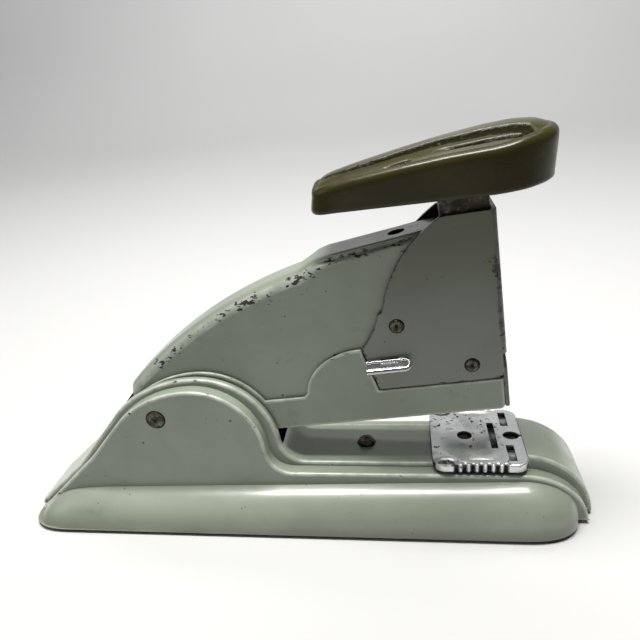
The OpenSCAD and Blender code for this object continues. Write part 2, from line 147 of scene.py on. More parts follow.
def rimDistance(points, outline):
    # distance from each point to the nearest edge of the outline
    start, end = outline, np.roll(outline, -1, 0)
    along = end - start
    k = np.einsum("pij,ij->pi", points[:, None] - start, along) / np.sum(along ** 2, 1)
    nearest = start + np.clip(k, 0, 1)[..., None] * along
    return np.linalg.norm(points[:, None] - nearest, axis=2).min(1)


def capFill(outline, fade):
    # Delaunay triangles inside the outline, with two rows of points beside its rim so that wear can fade
    # there. A row's point is left out where it is nearer the rim than its row, as in a tight corner.
    rows = [inset(outline, f) for f in fade]
    inner = np.concatenate([r[rimDistance(r, outline) > f * 0.93] for r, f in zip(rows, fade)])
    count = len(outline)
    edges = [(k, (k + 1) % count) for k in range(count)]
    made = delaunay_2d_cdt([Vector(p) for p in np.concatenate([outline, inner])], edges, [], 1, 1e-5)
    points = np.array([tuple(p) for p in made[0]])
    depth = rimDistance(points, outline)
    depth[:count] = 0
    return points, [list(face) for face in made[2]], np.interp(depth, [0, *fade], [1.0, 0.45, 0.0])


def slab(outline, low, high, edge, fade=(1.2, 3.0), steps=5):
    # An outline carried from low to high. Near each end its rings follow a quarter circle of radius edge:
    # place = end + edge (1 - sin a), inset = edge (1 - cos a). wear is 1 on the rounding and fades beside it.
    turn = np.radians(np.linspace(90, 0, steps))
    half, middle = (high - low) / 2, (high + low) / 2
    outline = spread(outline)
    rings = [(half - edge + edge * math.sin(t), edge * (1 - math.cos(t)), 1.0) for t in turn]
    rings += [(half - edge - f, 0.0, w) for f,
              w in ((fade[0], 0.45), (fade[1], 0.0)) if half - edge - f > 0.3]
    rings = [(-across, move, worn) for across, move, worn in rings] + rings[::-1]
    count = len(outline)
    points = np.concatenate([
        np.concatenate([inset(outline, move), np.full((count, 1), middle + across)], 1)
        for across, move, worn in rings])
    wear = np.repeat([worn for across, move, worn in rings], count)
    wall = (points, gridQuads(len(rings), count, True), wear)
    flat, faces, worn = capFill(inset(outline, edge), fade)
    caps = [(np.concatenate([flat, np.full((len(flat), 1), z)], 1), faces, worn) for z in (low, high)]
    return merged(wall, *caps)


def lathe(profile, sides=48):
    # each (radius, height) of the profile turned about the third axis; both ends lie on the axis
    t = np.linspace(0, 2 * math.pi, sides, endpoint=False)
    ring = np.array(profile, float)
    points = np.stack([np.outer(ring[:, 0], np.cos(t)), np.outer(ring[:, 0], np.sin(t)),
                       np.repeat(ring[:, 1:2], sides, 1)], -1).reshape(-1, 3)
    return points, gridQuads(len(ring), sides, True), np.zeros(len(points))


def tube(path, radius, sides=10):
    # a circle carried along a path: each ring lies across the path's direction, turned from the ring before
    ahead = np.gradient(path, axis=0)
    ahead /= np.linalg.norm(ahead, axis=1, keepdims=True)
    side = np.zeros_like(ahead)
    seed = np.array([0.0, 1.0, 0.0]) if abs(ahead[0, 1]) < 0.9 else np.array([1.0, 0.0, 0.0])
    for k, direction in enumerate(ahead):
        seed = seed - direction * seed.dot(direction)
        seed /= np.linalg.norm(seed)
        side[k] = seed
    up = np.cross(ahead, side)
    t = np.linspace(0, 2 * math.pi, sides, endpoint=False)
    points = path[:, None] + radius * (side[:, None] * np.cos(t)[:, None] + up[:, None] * np.sin(t)[:, None])
    last = (len(path) - 1) * sides
    faces = gridQuads(len(path), sides, True) + [list(range(sides)), list(range(last, last + sides))]
    return points.reshape(-1, 3), faces, np.zeros(len(path) * sides)


def merged(*shapes):
    # several (points, faces, wear) shapes as one
    points, faces, wear, start = [], [], [], 0
    for shape in shapes:
        points.append(shape[0])
        faces += [[v + start for v in face] for face in shape[1]]
        wear.append(shape[2])
        start += len(shape[0])
    return np.concatenate(points), faces, np.concatenate(wear)


def turned(shape, mapping):
    return mapping(shape[0]), shape[1], shape[2]


def moved(shape, place, scale=(1, 1, 1)):
    return shape[0] * np.array(scale, float) + np.array(place, float), shape[1], shape[2]


def meshObject(name, shape):
    points, faces, wear = shape
    mesh = bpy.data.meshes.new(name)
    mesh.from_pydata(points.tolist(), [], faces)
    mesh.attributes.new("wear", "FLOAT", "POINT").data.foreach_set("value", wear.astype(np.float32))
    obj = bpy.data.objects.new(name, mesh)
    bpy.context.scene.collection.objects.link(obj)
    return obj


def bakeModifiers(obj):
    graph = bpy.context.evaluated_depsgraph_get()
    mesh = bpy.data.meshes.new_from_object(obj.evaluated_get(graph))
    obj.modifiers.clear()
    obj.data = mesh


def tidyFaces(obj, sharp):
    # doubles merged, faces turned outwards, edges above the angle kept sharp
    work = bmesh.new()
    work.from_mesh(obj.data)
    bmesh.ops.remove_doubles(work, verts=work.verts, dist=2e-6)
    bmesh.ops.dissolve_degenerate(work, edges=work.edges, dist=1e-6)
    bmesh.ops.recalc_face_normals(work, faces=work.faces)
    work.to_mesh(obj.data)
    work.free()
    obj.data.polygons.foreach_set("use_smooth", np.ones(len(obj.data.polygons), bool))
    obj.data.set_sharp_from_angle(angle=math.radians(sharp))


def cutAway(obj, cutters):
    # takes the cutters' shapes out of the piece; the cut faces take its last material
    for cutter in cutters:
        tool = meshObject("cutter", cutter)
        tool.data.materials.append(obj.data.materials[-1])
        tidyFaces(tool, 30)
        cut = obj.modifiers.new("cut", "BOOLEAN")
        cut.operation, cut.solver, cut.object = "DIFFERENCE", "EXACT", tool
        bakeModifiers(obj)
        bpy.data.objects.remove(tool)


def sheetMetal(obj, thickness, innerSlot):
    # gives an open surface a wall on its inner side, whose faces take another material
    wall = obj.modifiers.new("wall", "SOLIDIFY")
    wall.material_offset = innerSlot
    wall.thickness, wall.offset, wall.use_even_offset = thickness * mm, -1.0, True
    bakeModifiers(obj)


def addPiece(name, shape, body, material, stands=(), cutters=(), wall=None, inner=None, sharp=35):
    obj = meshObject(name, shape)
    obj.data.materials.append(material)
    if inner:
        obj.data.materials.append(inner)
    tidyFaces(obj, sharp)
    if wall:
        sheetMetal(obj, wall, 1 if inner else 0)
    cutAway(obj, cutters)
    tidyFaces(obj, sharp)
    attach(obj, body)
    if stands:
        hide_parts(*stands)
    return obj


def block(low, high):
    # a plain box as a cutting shape
    outline = np.array([[low[0], low[1]], [high[0], low[1]], [high[0], high[1]], [low[0], high[1]]], float)
    points = np.concatenate([np.concatenate([outline, np.full((4, 1), z)], 1) for z in (low[2], high[2])])
    return points, gridQuads(2, 4, True) + [[0, 1, 2, 3], [4, 5, 6, 7]], np.ones(8)


# materials

class Finish:  # a principled material and short calls that add nodes to it

    def __init__(self, name, **sockets):
        self.material = bpy.data.materials.new(name)
        self.material.use_nodes = True
        self.tree = self.material.node_tree
        self.shader = next(n for n in self.tree.nodes if n.type == "BSDF_PRINCIPLED")
        for key, value in sockets.items():
            self.shader.inputs[key.replace("_", " ")].default_value = value
        self.coords = self.add("ShaderNodeTexCoord").outputs["Object"]

    def add(self, kind, settings=None, **inputs):
        made = self.tree.nodes.new(kind)
        for key, value in (settings or {}).items():
            setattr(made, key, value)
        for key, value in inputs.items():
            numbered = key[0] == "i" and key[1:].isdigit()
            socket = made.inputs[int(key[1:]) if numbered else key.replace("_", " ")]
            if isinstance(value, bpy.types.NodeSocket):
                self.tree.links.new(value, socket)
            else:
                socket.default_value = value
        return made

    def stretched(self, scale=(1, 1, 1), rotation=(0, 0, 0), location=(0, 0, 0)):
        return self.add("ShaderNodeMapping", Vector=self.coords, Scale=scale, Rotation=rotation,
                        Location=location).outputs[0]

    def noise(self, scale, detail=3.0, rough=0.5, vector=None):
        return self.add("ShaderNodeTexNoise", Vector=vector or self.coords, Scale=scale, Detail=detail,
                        Roughness=rough).outputs["Fac"]

    def dots(self, scale):
        return self.add("ShaderNodeTexVoronoi", Vector=self.coords, Scale=scale).outputs["Distance"]

    def band(self, value, low, high, start=0.0, end=1.0):
        return self.add("ShaderNodeMapRange", {"interpolation_type": "SMOOTHSTEP"}, Value=value,
                        From_Min=low, From_Max=high, To_Min=start, To_Max=end).outputs[0]

    def maths(self, operation, a, b=0.0):
        return self.add("ShaderNodeMath", {"operation": operation}, i0=a, i1=b).outputs[0]

    def times(self, a, b):
        return self.maths("MULTIPLY", a, b)

    def plus(self, a, b):
        return self.maths("ADD", a, b)

    def minus(self, a, b):
        return self.maths("SUBTRACT", a, b)

    def most(self, a, b):
        return self.maths("MAXIMUM", a, b)

    def blend(self, amount, a, b):
        return self.add("ShaderNodeMix", {"data_type": "RGBA"}, i0=amount, i6=a, i7=b).outputs[2]

    def axis(self, name):
        return self.add("ShaderNodeSeparateXYZ", Vector=self.coords).outputs[name]

    def wear(self):
        return self.add("ShaderNodeAttribute", {"attribute_name": "wear"}).outputs["Fac"]

    def bump(self, height, distance, strength=1.0, under=None):
        inputs = {"Height": height, "Distance": distance, "Strength": strength}
        if under is not None:
            inputs["Normal"] = under
        return self.add("ShaderNodeBump", **inputs).outputs[0]

    def to(self, socket, value):
        self.tree.links.new(value, self.shader.inputs[socket])


def colour(red, green, blue):
    return (red, green, blue, 1.0)


enamelLook = {
    "paint": colour(0.300, 0.345, 0.268),
    "paintLow": colour(0.255, 0.290, 0.225),
    "grime": colour(0.120, 0.122, 0.070),
    # dark olive of the painted shade over the top of the head
    "topShade": colour(0.110, 0.116, 0.040),
    "primer": colour(0.018, 0.017, 0.015),
    # light of rubbed edges, partly a painted highlight
    "rubHighlight": colour(0.62, 0.66, 0.58),
    # dark of inked edges: dirt and painted seam shadow
    "inkShadow": colour(0.030, 0.029, 0.022),
}


def enamel(name, chipping=1.0, darkeningTop=None, tint=1.0, edgeRubHighlight=0.5, edgeInkShadow=0.0, topShade=None):
    # Sage paint: cloudy tone, specks, scratches, and where asked a darkening towards the ground. Edges rub
    # light, partly real wear and partly a painted highlight, or darken with dirt and painted seam shadow;
    # where asked, painted shade darkens the top. Paint is chipped off where noise plus wear passes a level.
    f = Finish(name, Roughness=0.36, Coat_Weight=0.45, Coat_Roughness=0.14)
    # tint darkens all the paint of one part: painted shade
    look = {k: tuple(c * tint for c in v[:3]) + (1.0,) for k, v in enamelLook.items()}
    wear = f.wear()
    tone = f.band(f.noise(28, 4, 0.6), 0.35, 0.68)
    base = f.blend(tone, look["paint"], look["paintLow"])
    stain = f.band(f.noise(75, 6, 0.65, f.stretched((1, 1, 1.7), location=(3.1, 0, 0))), 0.60, 0.74, 0, 0.3)
    base = f.blend(stain, base, look["grime"])
    # darker towards the ground: below the given height in millimetres the paint blends towards a dark olive
    # in patches
    if darkeningTop:
        low = f.band(f.axis("Z"), darkeningTop * mm, 0.0, 0, 0.6)
        low = f.times(low, f.band(f.noise(60, 5, 0.6, f.stretched((0.6, 1, 1))), 0.25, 0.6, 0.45, 1))
        base = f.blend(low, base, look["grime"])
    # painted shade: between the two heights the paint darkens towards a dark olive, so the top of the part
    # looks shaded
    if topShade:
        base = f.blend(f.band(f.axis("Z"), topShade[0] * mm, topShade[1] * mm, 0, topShade[2]), base, look["topShade"])
    # edges turn light: partly rubbed wear, partly a painted highlight along the rounded edges
    rubbedHighlit = f.times(f.band(wear, 0.5, 1.0), f.band(f.noise(260, 4), 0.3, 0.7, 0.35 * edgeRubHighlight, edgeRubHighlight))
    base = f.blend(rubbedHighlit, base, look["rubHighlight"])
    # worn edges inked dark: partly dirt on cut edges and chips, partly painted shadow along the seams
    if edgeInkShadow:
        inkedShadow = f.times(f.band(wear, 0.6, 0.98), f.band(f.noise(330, 5), 0.35, 0.6, 0.55 * edgeInkShadow, edgeInkShadow))
        base = f.blend(inkedShadow, base, look["inkShadow"])
    scattered = f.noise(45, 2, 0.5, f.stretched(location=(0, 7, 2)))
    speck = f.times(f.band(f.dots(150), 0.070, 0.035), f.band(scattered, 0.57, 0.64))
    fine = f.times(f.band(f.dots(420), 0.12, 0.06), f.band(f.noise(70, 2), 0.55, 0.66))
    hair = f.times(f.band(f.noise(150, 2, 0.5, f.stretched((0.22, 1, 5.5), (0, 0.5, 0))), 0.735, 0.76),
                   f.band(f.noise(60, 2), 0.5, 0.6))
    flake = f.plus(f.noise(700, 5, 0.6, f.stretched((0.6, 1, 1.15))), f.times(wear, 0.23 * chipping))
    patch = f.band(f.noise(85, 3, 0.5, f.stretched(location=(5, 1, 9))), 0.40, 0.62, -0.12, 0.03 * chipping)
    chip = f.band(f.plus(flake, patch), 0.765, 0.785)
    bare = f.most(f.most(chip, speck), f.most(fine, f.times(hair, 0.7)))
    f.to("Base Color", f.blend(bare, base, look["primer"]))
    f.to("Roughness", f.band(f.plus(f.noise(90, 5), f.times(bare, 0.6)), 0.3, 1.1, 0.28, 0.62))
    orange = f.bump(f.noise(520, 2), 0.00004, 0.5)
    f.to("Normal", f.bump(f.minus(1.0, bare), 0.00012, 0.8, orange))
    return f.material


def brightMetal(name, shade, roughness, pits, streak, dirt):
    # bare or plated metal: fine brushing along one axis, stains, pits and a darker skin in patches
    f = Finish(name, Metallic=1.0)
    brushed = f.noise(420, 3, 0.6, f.stretched(streak))
    stain = f.band(f.noise(95, 6, 0.66), 0.47, 0.72)
    base = f.blend(f.times(stain, dirt), colour(*shade), colour(*[c * 0.42 for c in shade]))
    pit = f.times(f.band(f.dots(330), 0.16, 0.08), f.band(f.noise(120, 3), 0.5, 0.58, 0, pits))
    base = f.blend(pit, base, colour(0.03, 0.028, 0.024))
    f.to("Base Color", base)
    f.to("Roughness", f.plus(f.band(brushed, 0.3, 0.7, roughness * 0.75, roughness * 1.25),
                             f.times(stain, 0.16)))
    f.to("Normal", f.bump(f.minus(brushed, f.times(pit, 1.5)), 0.00003, 0.5))
    return f.material


def mottledSteel(name):
    # steel with a brown and grey skin that has worn through in blotches
    f = Finish(name, Metallic=0.7)
    blotch = f.band(f.noise(210, 7, 0.68), 0.46, 0.68)
    warm = f.band(f.noise(95, 4), 0.45, 0.65)
    skin = f.blend(warm, colour(0.016, 0.015, 0.012), colour(0.045, 0.036, 0.024))
    f.to("Base Color", f.blend(blotch, skin, colour(0.17, 0.155, 0.125)))
    f.to("Roughness", f.band(blotch, 0, 1, 0.55, 0.34))
    f.to("Normal", f.bump(f.noise(300, 6), 0.00006, 0.5))
    return f.material


def olivePlastic(name):
    # polished moulding: cloudy olive, the grooves darkened by dust and painted shade, tiny nicks, faint wipe
    # marks
    f = Finish(name, Roughness=0.25, Specular_IOR_Level=0.27)
    wear = f.wear()
    cloud = f.band(f.noise(42, 5, 0.6, f.stretched((0.5, 1, 1))), 0.35, 0.7)
    base = f.blend(cloud, colour(0.024, 0.0205, 0.0035), colour(0.044, 0.041, 0.010))
    grain = f.band(f.noise(900, 4, 0.7), 0.4, 0.62)
    # the grooves, by wear, go nearly black: dust, and painted shade for their depth
    dustAndShade = f.times(wear, f.band(f.noise(520, 5, 0.7), 0.32, 0.66, 0.45, 1.0))
    base = f.blend(f.times(dustAndShade, 0.92), base, colour(0.006, 0.0055, 0.0025))
    nick = f.times(f.band(f.dots(210), 0.08, 0.045), f.band(f.noise(55, 2), 0.58, 0.66))
    base = f.blend(nick, base, colour(0.42, 0.42, 0.30))
    f.to("Base Color", base)
    wipe = f.noise(170, 4, 0.6, f.stretched((0.25, 1, 1)))
    f.to("Roughness", f.plus(f.band(wipe, 0.3, 0.75, 0.19, 0.36), f.times(dustAndShade, 0.5)))
    height = f.plus(f.times(grain, f.times(wear, 1.2)), f.times(wipe, 0.15))
    f.to("Normal", f.bump(height, 0.0001, 0.7))
    return f.material


def shadedDustyGroove(name):
    # the unpolished floor of the grooves: dull, painted nearly black as shade, with pale grains of old dust
    f = Finish(name, Roughness=0.9, Specular_IOR_Level=0.06)
    grain = f.noise(900, 5, 0.7)
    speckled = f.band(grain, 0.55, 0.68, 0, 0.75)
    f.to("Base Color", f.blend(speckled, colour(0.010, 0.0095, 0.003), colour(0.085, 0.084, 0.040)))
    f.to("Normal", f.bump(grain, 0.00018, 0.8))
    return f.material


def rivetSteel(name):
    # tarnished rivet: spun rings on the head, painted near black in the hollows as shade
    f = Finish(name, Metallic=0.75)
    wear = f.wear()
    tarnish = f.band(f.noise(620, 5, 0.65), 0.35, 0.62)
    base = f.blend(tarnish, colour(0.150, 0.140, 0.105), colour(0.040, 0.036, 0.026))
    base = f.blend(wear, base, colour(0.006, 0.0055, 0.005))
    f.to("Base Color", base)
    f.to("Roughness", f.band(tarnish, 0, 1, 0.34, 0.58))
    f.to("Normal", f.bump(f.noise(700, 4), 0.00005, 0.6))
    return f.material


def platedAnvil(name):
    # worn plating, painted near black as shade down in every pocket and notch, pits scattered round the
    # middle
    f = Finish(name, Metallic=0.9)
    top = (anvilSizes["low"] + anvilSizes["thick"]) * mm
    x, y, z = f.axis("X"), f.maths("ABSOLUTE", f.axis("Y")), f.axis("Z")
    # painted shade: near black where the surface sinks below the top inside the sides, and in the knurled
    # notches
    sunk = f.band(z, top - 0.00015, top - 0.0009)
    within = f.band(y, 0.0153, 0.0148)
    notch = f.times(f.band(y, 0.01655, 0.0160), f.times(f.band(x, 0.0500, 0.0508), f.band(x, 0.0688, 0.0680)))
    recessShade = f.times(sunk, f.most(within, f.times(notch, f.band(z, top - 0.0002, top - 0.0006))))
    recessShade = f.times(recessShade, f.band(f.noise(700, 4), 0.25, 0.55, 0.75, 0.98))
    cloud = f.band(f.noise(110, 6, 0.66), 0.42, 0.68)
    base = f.blend(cloud, colour(0.72, 0.735, 0.73), colour(0.48, 0.495, 0.49))
    pit = f.times(f.band(f.noise(640, 5, 0.6), 0.585, 0.61),
                  f.band(f.noise(120, 3, 0.5, f.stretched(location=(1, 4, 0))), 0.44, 0.56))
    base = f.blend(pit, base, colour(0.035, 0.033, 0.028))
    f.to("Base Color", f.blend(recessShade, base, colour(0.010, 0.010, 0.009)))
    f.to("Roughness", f.plus(f.band(cloud, 0, 1, 0.30, 0.44), f.times(f.most(pit, recessShade), 0.4)))
    brushed = f.noise(420, 3, 0.6, f.stretched((0.4, 1, 1)))
    f.to("Normal", f.bump(f.minus(brushed, f.times(pit, 2.0)), 0.00004, 0.5))
    return f.material


def paintedShadeInside(name):
    # the inner side of folded sheet and the faces of cuts: painted nearly black as shade
    f = Finish(name, Roughness=0.7)
    oily = f.band(f.noise(120, 6, 0.65), 0.35, 0.65)
    f.to("Base Color", f.blend(oily, colour(0.030, 0.034, 0.027), colour(0.009, 0.009, 0.007)))
    f.to("Normal", f.bump(f.noise(400, 4), 0.00005, 0.5))
    return f.material


def rubber(name):
    f = Finish(name, Roughness=0.85)
    grain = f.noise(600, 5, 0.6)
    f.to("Base Color", f.blend(f.band(grain, 0.3, 0.7), colour(0.012, 0.012, 0.011),
                               colour(0.030, 0.029, 0.027)))
    f.to("Normal", f.bump(grain, 0.0001, 0.6))
    return f.material


anvilSizes = {"rear": 139.7, "length": 29.5, "half": 16.7, "low": 19.05, "thick": 2.9, "corner": 4.2,
              "row": 159.7, "travel": 4.7, "stemX": 150.7}
# One sage paint for every part; each tint darkens it to how bright that part looks, which is painted shade,
# most on the head (0.51) and the nose plate (0.33).
paintBase = enamel("sageEnamelBase", 0.62, darkeningTop=8.0, tint=0.85, edgeRubHighlight=0.76)
paintUpper = enamel("sageEnamelCover", 1.2, tint=0.78, edgeRubHighlight=0.62)
paintMagazine = enamel("sageEnamelMagazine", 0.5, tint=0.74, edgeRubHighlight=0.85)
paintHead = enamel("sageEnamelHead", 1.35, tint=0.51, edgeRubHighlight=0.1, edgeInkShadow=1.0, topShade=(62, 95, 0.75))
paintNose = enamel("sageEnamelNose", 0.9, tint=0.33, edgeRubHighlight=0.25, edgeInkShadow=0.3)
shadeInside = paintedShadeInside("paintedShadeInside")
chrome = platedAnvil("wornPlating")
tabChrome = brightMetal("latchChrome", (0.50, 0.50, 0.49), 0.22, 0.25, (1, 1, 0.3), 0.2)
springWire = brightMetal("springWire", (0.42, 0.43, 0.45), 0.30, 0.2, (1, 1, 4), 0.4)
stapleWire = brightMetal("stapleWire", (0.72, 0.73, 0.75), 0.24, 0.1, (1, 3, 1), 0.15)
innerSteel = brightMetal("innerSteel", (0.50, 0.49, 0.47), 0.38, 0.5, (0.3, 1, 1), 0.55)
brass = brightMetal("machinedBrass", (0.62, 0.45, 0.19), 0.28, 0.2, (1, 1, 5), 0.4)
plungerSteel = mottledSteel("mottledSteel")
olive = olivePlastic("olivePlastic")
groove = shadedDustyGroove("shadedDustyGroove")
rivetMetal = rivetSteel("tarnishedRivet")
padRubber = rubber("blackPad")
print("materials ready")


# base: three stacked layers that run over the nose, with rounded skirts along both sides

baseSizes = {
    "deckHalf": 11.8, "panelHalf": 16.4, "skirtHalf": 26.7, "pad": 1.0, "arch": 13.1,
    "skirtRear": {"at": 20.0, "radius": 17.0, "power": 3.0},
    "skirtFront": {"at": 165.8, "radius": 19.0, "power": 2.5},
    "deckHigh": 19.0, "ledgeHigh": 17.6, "noseRise": 22.0, "deckEdge": 0.85, "panelEdge": 0.75,
    "slotHalf": 9.4, "slotRear": 24.0, "slotFront": 91.0, "slotFloor": 14.0,
}


def deckOutline():
    s = baseSizes
    return chain(
        [[0.6, s["pad"]], [18.5, 16.6]],
        arc((65, 9.9), 39.9, 39.9, 136.5, 90, 40),
        arc((65, 24.3), 25.5, 25.5, 88, 8, 48),
        arc((99.3, s["deckHigh"] + 9), 9, 9, 184, 270, 24),
        [[130, s["deckHigh"]], [168.6, s["deckHigh"]]],
        arc((167, 0), 23, s["noseRise"], 84.5, 3, 48),
        [[189.9, s["pad"]]])


def panelOutline():
    s = baseSizes
    return chain(
        [[3, s["pad"]], [25.7, 22.2]],
        arc((64.5, 11.5), 36.3, 36.3, 136, 90, 36),
        arc((64, 25.4), 22.4, 22.4, 88, 6, 44),
        arc((94.8, s["ledgeHigh"] + 8), 8, 8, 186, 270, 22),
        [[130, s["ledgeHigh"]]],
        arc((167, 0), 21, s["ledgeHigh"], 90, 3, 44),
        [[187.9, s["pad"]]])


def skirtShape():
    # Rounded tray: a plan ring of superellipse corners shrinks as g goes from 1 to 0 while the height rises
    # as foot + 13.1 sqrt(1 - g g), so every section across is a quarter circle. foot climbs towards the nose.
    s = baseSizes
    arch = s["arch"]
    steps, between = 25, 58
    turn = np.radians(np.linspace(0, 90, steps))

    def corner(radius, power, direction):
        return np.cos(turn) ** (2 / power) * radius * direction, np.sin(turn) ** (2 / power) * arch

    frontX, rearX = s["skirtFront"]["at"], s["skirtRear"]["at"]
    frontOutX, frontOutY = corner(s["skirtFront"]["radius"], s["skirtFront"]["power"], 1)
    rearOutX, rearOutY = corner(s["skirtRear"]["radius"], s["skirtRear"]["power"], -1)
    along = np.linspace(frontX, rearX, between + 2)[1:-1]
    core = np.concatenate([np.full(steps, frontX), along, np.full(steps, rearX),
                           np.full(steps - 1, rearX), along[::-1], np.full(steps - 1, frontX)])
    outX = np.concatenate([frontOutX, 0 * along, rearOutX[::-1], rearOutX[1:], 0 * along,
                           frontOutX[::-1][:-1]])
    coreY = np.repeat([1.0, -1.0], [2 * steps + between, 2 * steps + between - 2]) * (s["skirtHalf"] - arch)
    outY = np.concatenate([frontOutY, 0 * along + arch, rearOutY[::-1],
                           -rearOutY[1:], 0 * along - arch, -frontOutY[::-1][:-1]])
    rise = np.radians(np.linspace(0, 90, 26))
    g = np.concatenate([[0.985, 1.0], np.cos(rise)])[:, None]
    lift = np.concatenate([[0.0, 0.0], np.sin(rise)])[:, None]
    x = core + g * outX
    y = coreY + g * outY
    foot = 0.6 + 0.032 * (x - halfBase)
    # lower towards the rear, so that the ribs run out over it
    tail = 1 - 0.35 * np.clip((30 - x) / 30, 0, 1) ** 2
    z = np.maximum(s["pad"] + 0.35, foot + arch * lift * tail)
    z[0], z[1] = s["pad"], s["pad"] + 0.2
    count = x.shape[1]
    points = np.stack([x, y, z], -1).reshape(-1, 3)
    wear = np.repeat(np.concatenate([[0.3, 0.4, 0.4], np.linspace(0.3, 0, 4), np.zeros(21)]), count)
    top = (len(g) - 1) * count
    return points, gridQuads(len(g), count, True) + [list(range(count)), list(range(top, top + count))], wear


s = baseSizes
slotCut = block((s["slotRear"], -s["slotHalf"], s["slotFloor"]), (s["slotFront"], s["slotHalf"], 80))
slotCut = turned(slotCut, placed)
deckSlab = slab(deckOutline(), -s["deckHalf"], s["deckHalf"], s["deckEdge"], (0.5, 1.4), 6)
panelSlab = slab(panelOutline(), -s["panelHalf"], s["panelHalf"], s["panelEdge"], (0.5, 1.4), 6)
baseLayers = (
    ("baseDeck", turned(deckSlab, upright), 50),
    ("basePanels", turned(panelSlab, upright), 35),
    ("baseSkirts", skirtShape(), 35),
)
# the slot cut's faces take the dark inside material: painted shade
for name, layer, sharp in baseLayers:
    addPiece(name, turned(layer, placed), "base", paintBase, inner=shadeInside, sharp=sharp,
             cutters=[slotCut], stands=("base_casting",))
padOutline = chain(
    arc((185 - 12, 26 - 12), 11.6, 11.8, 90, 0, 12), arc((185 - 12, -26 + 12), 11.6, 11.8, 0, -90, 12),
    arc((16, -26 + 12.5), 12.6, 12.3, 270, 180, 12), arc((16, 26 - 12.5), 12.6, 12.3, 180, 90, 12))
pad = slab(padOutline, 0.0, s["pad"], 0.25, (0.6, 1.5), 3)
noseFoot = slab(roundedBox((170, -11.0), (189.0, 11.0), 2.0), 0.0, s["pad"], 0.25, (0.5, 1.0), 3)
padShape = merged(pad, noseFoot)
addPiece("basePad", turned(padShape, placed), "base", padRubber, stands=("base_pad",))
print("base built")


# rivets and pins: a turned head with a dished, spun centre and a ring where it meets the sheet, both painted
# dark as shade

rivetSizes = {
    "sides": 40, "pivotHead": 3.0, "headHead": 2.1, "deckHead": 2.9,
    "rearAt": (131.9, 57.7), "frontAt": (152.7, 42.2), "deckX": 118.0,
}


def rivetHead(radius, rise, dish=0.28):
    # profile from the middle outwards: dish, spun ring, crown, rounded rim; wear marks the hollows and the
    # rim's foot, painted dark as shade
    r, h, sides = radius, rise, rivetSizes["sides"]
    profile = [(0.0, h - dish), (0.16 * r, h - dish), (0.26 * r, h - dish * 0.35), (0.34 * r, h - 0.02),
               (0.42 * r, h - 0.10), (0.50 * r, h - 0.03), (0.66 * r, h), (0.78 * r, h * 0.93),
               (0.88 * r, h * 0.74), (0.95 * r, h * 0.45), (0.99 * r, h * 0.12), (r, -0.05), (0.0, -0.05)]
    hollowShade = np.array([0.85, 0.8, 0.35, 0, 0.5, 0.1, 0, 0, 0.05, 0.35, 0.8, 1, 1])
    points, faces, wear = lathe(profile, sides)
    return points, faces, np.repeat(hollowShade, sides)


def shadeRing(radius, width):
    # a thin near-black ring round a head where it meets the sheet: painted shade
    profile = [(radius - 0.1, -0.05), (radius - 0.1, 0.06), (radius + width * 0.7, 0.045),
               (radius + width, -0.05)]
    sides = rivetSizes["sides"]
    points, faces, wear = lathe(profile, sides)
    last = 3 * sides
    closing = [[last + k, last + (k + 1) % sides, (k + 1) % sides, k] for k in range(sides)]
    return points, faces + closing, np.ones(len(points))


def crossRivet(at, half, radius, shank, rise, ring):
    # two heads and a shank laid across y
    parts = []
    for side in (-1, 1):
        for head in (rivetHead(radius, rise), shadeRing(radius, ring)):
            parts.append(moved(turned(head, upright), (at[0], side * half, at[1]), (1, side, side)))
    body = lathe([(0, -half), (shank, -half), (shank, half), (0, half)], 32)
    parts.append(moved(turned(body, upright), (at[0], 0, at[1])))
    return merged(*parts)


pivotAt = (layout["pivotX"], layout["pivotZ"])
pin = crossRivet(pivotAt, baseSizes["panelHalf"], rivetSizes["pivotHead"], 2.4, 0.55, 0.35)
addPiece("pivotPin", turned(pin, placed), "base", rivetMetal, stands=("pivot_pin",))
for name, node, at in (("rearRivet", "rear_rivet", "rearAt"), ("frontRivet", "front_rivet", "frontAt")):
    rivet = crossRivet(rivetSizes[at], 9.0, rivetSizes["headHead"], 1.6, 0.6, 0.3)
    addPiece(name, turned(rivet, opened), "arm", rivetMetal, stands=(node,))
dome = merged(rivetHead(rivetSizes["deckHead"], 1.7, 0.12), shadeRing(rivetSizes["deckHead"], 0.3))
tail = lathe([(0, 13.6), (2.6, 13.6), (2.6, 15.2), (1.6, 15.3), (1.6, 19.0), (0, 19.0)], 32)
dome = merged(moved(dome, (rivetSizes["deckX"], 0, baseSizes["deckHigh"])),
              moved(tail, (rivetSizes["deckX"], 0, 0)))
addPiece("deckRivet", turned(dome, placed), "base", rivetMetal, stands=("deck_rivet",))
print("rivets built")


# magazine: folded channel with rear ears and front lobes

magazineSizes = {"half": 9.0, "sheet": 1.2, "floor": 26.0, "top": 36.6, "front": 161.5, "rear": 66.0}


def magazineOutline():
    s = magazineSizes
    return chain(
        arc((s["front"] - 1.6, s["floor"] + 1.6), 1.6, 1.6, 270, 360, 8),
        [[s["front"], s["top"]], [123.7, s["top"]], [120.0, 51.1]],
        arc((119.5, s["top"]), 18.7, 14.5, 92, 174, 36),
        [[99.6, s["top"]]],
        arc((64.5, 24.4), 25.2, 25.2, 29, 88, 36),
        arc((64.5, 12.2), 37.4, 37.4, 92, 125, 20),
        arc((layout["pivotX"], layout["pivotZ"]), 9.9, 9.9, 151, 268, 30),
        [[s["rear"], s["floor"]]])


def channelFloor():
    # the folded bottom between the two side plates
    s = magazineSizes
    tray = roundedBox((s["rear"], -s["half"] + 0.35), (s["front"] - 1.4, s["half"] - 0.35), 0.3, 3)
    return slab(tray, s["floor"] + 0.02, s["floor"] + s["sheet"], 0.1, (0.3, 0.6), 3)


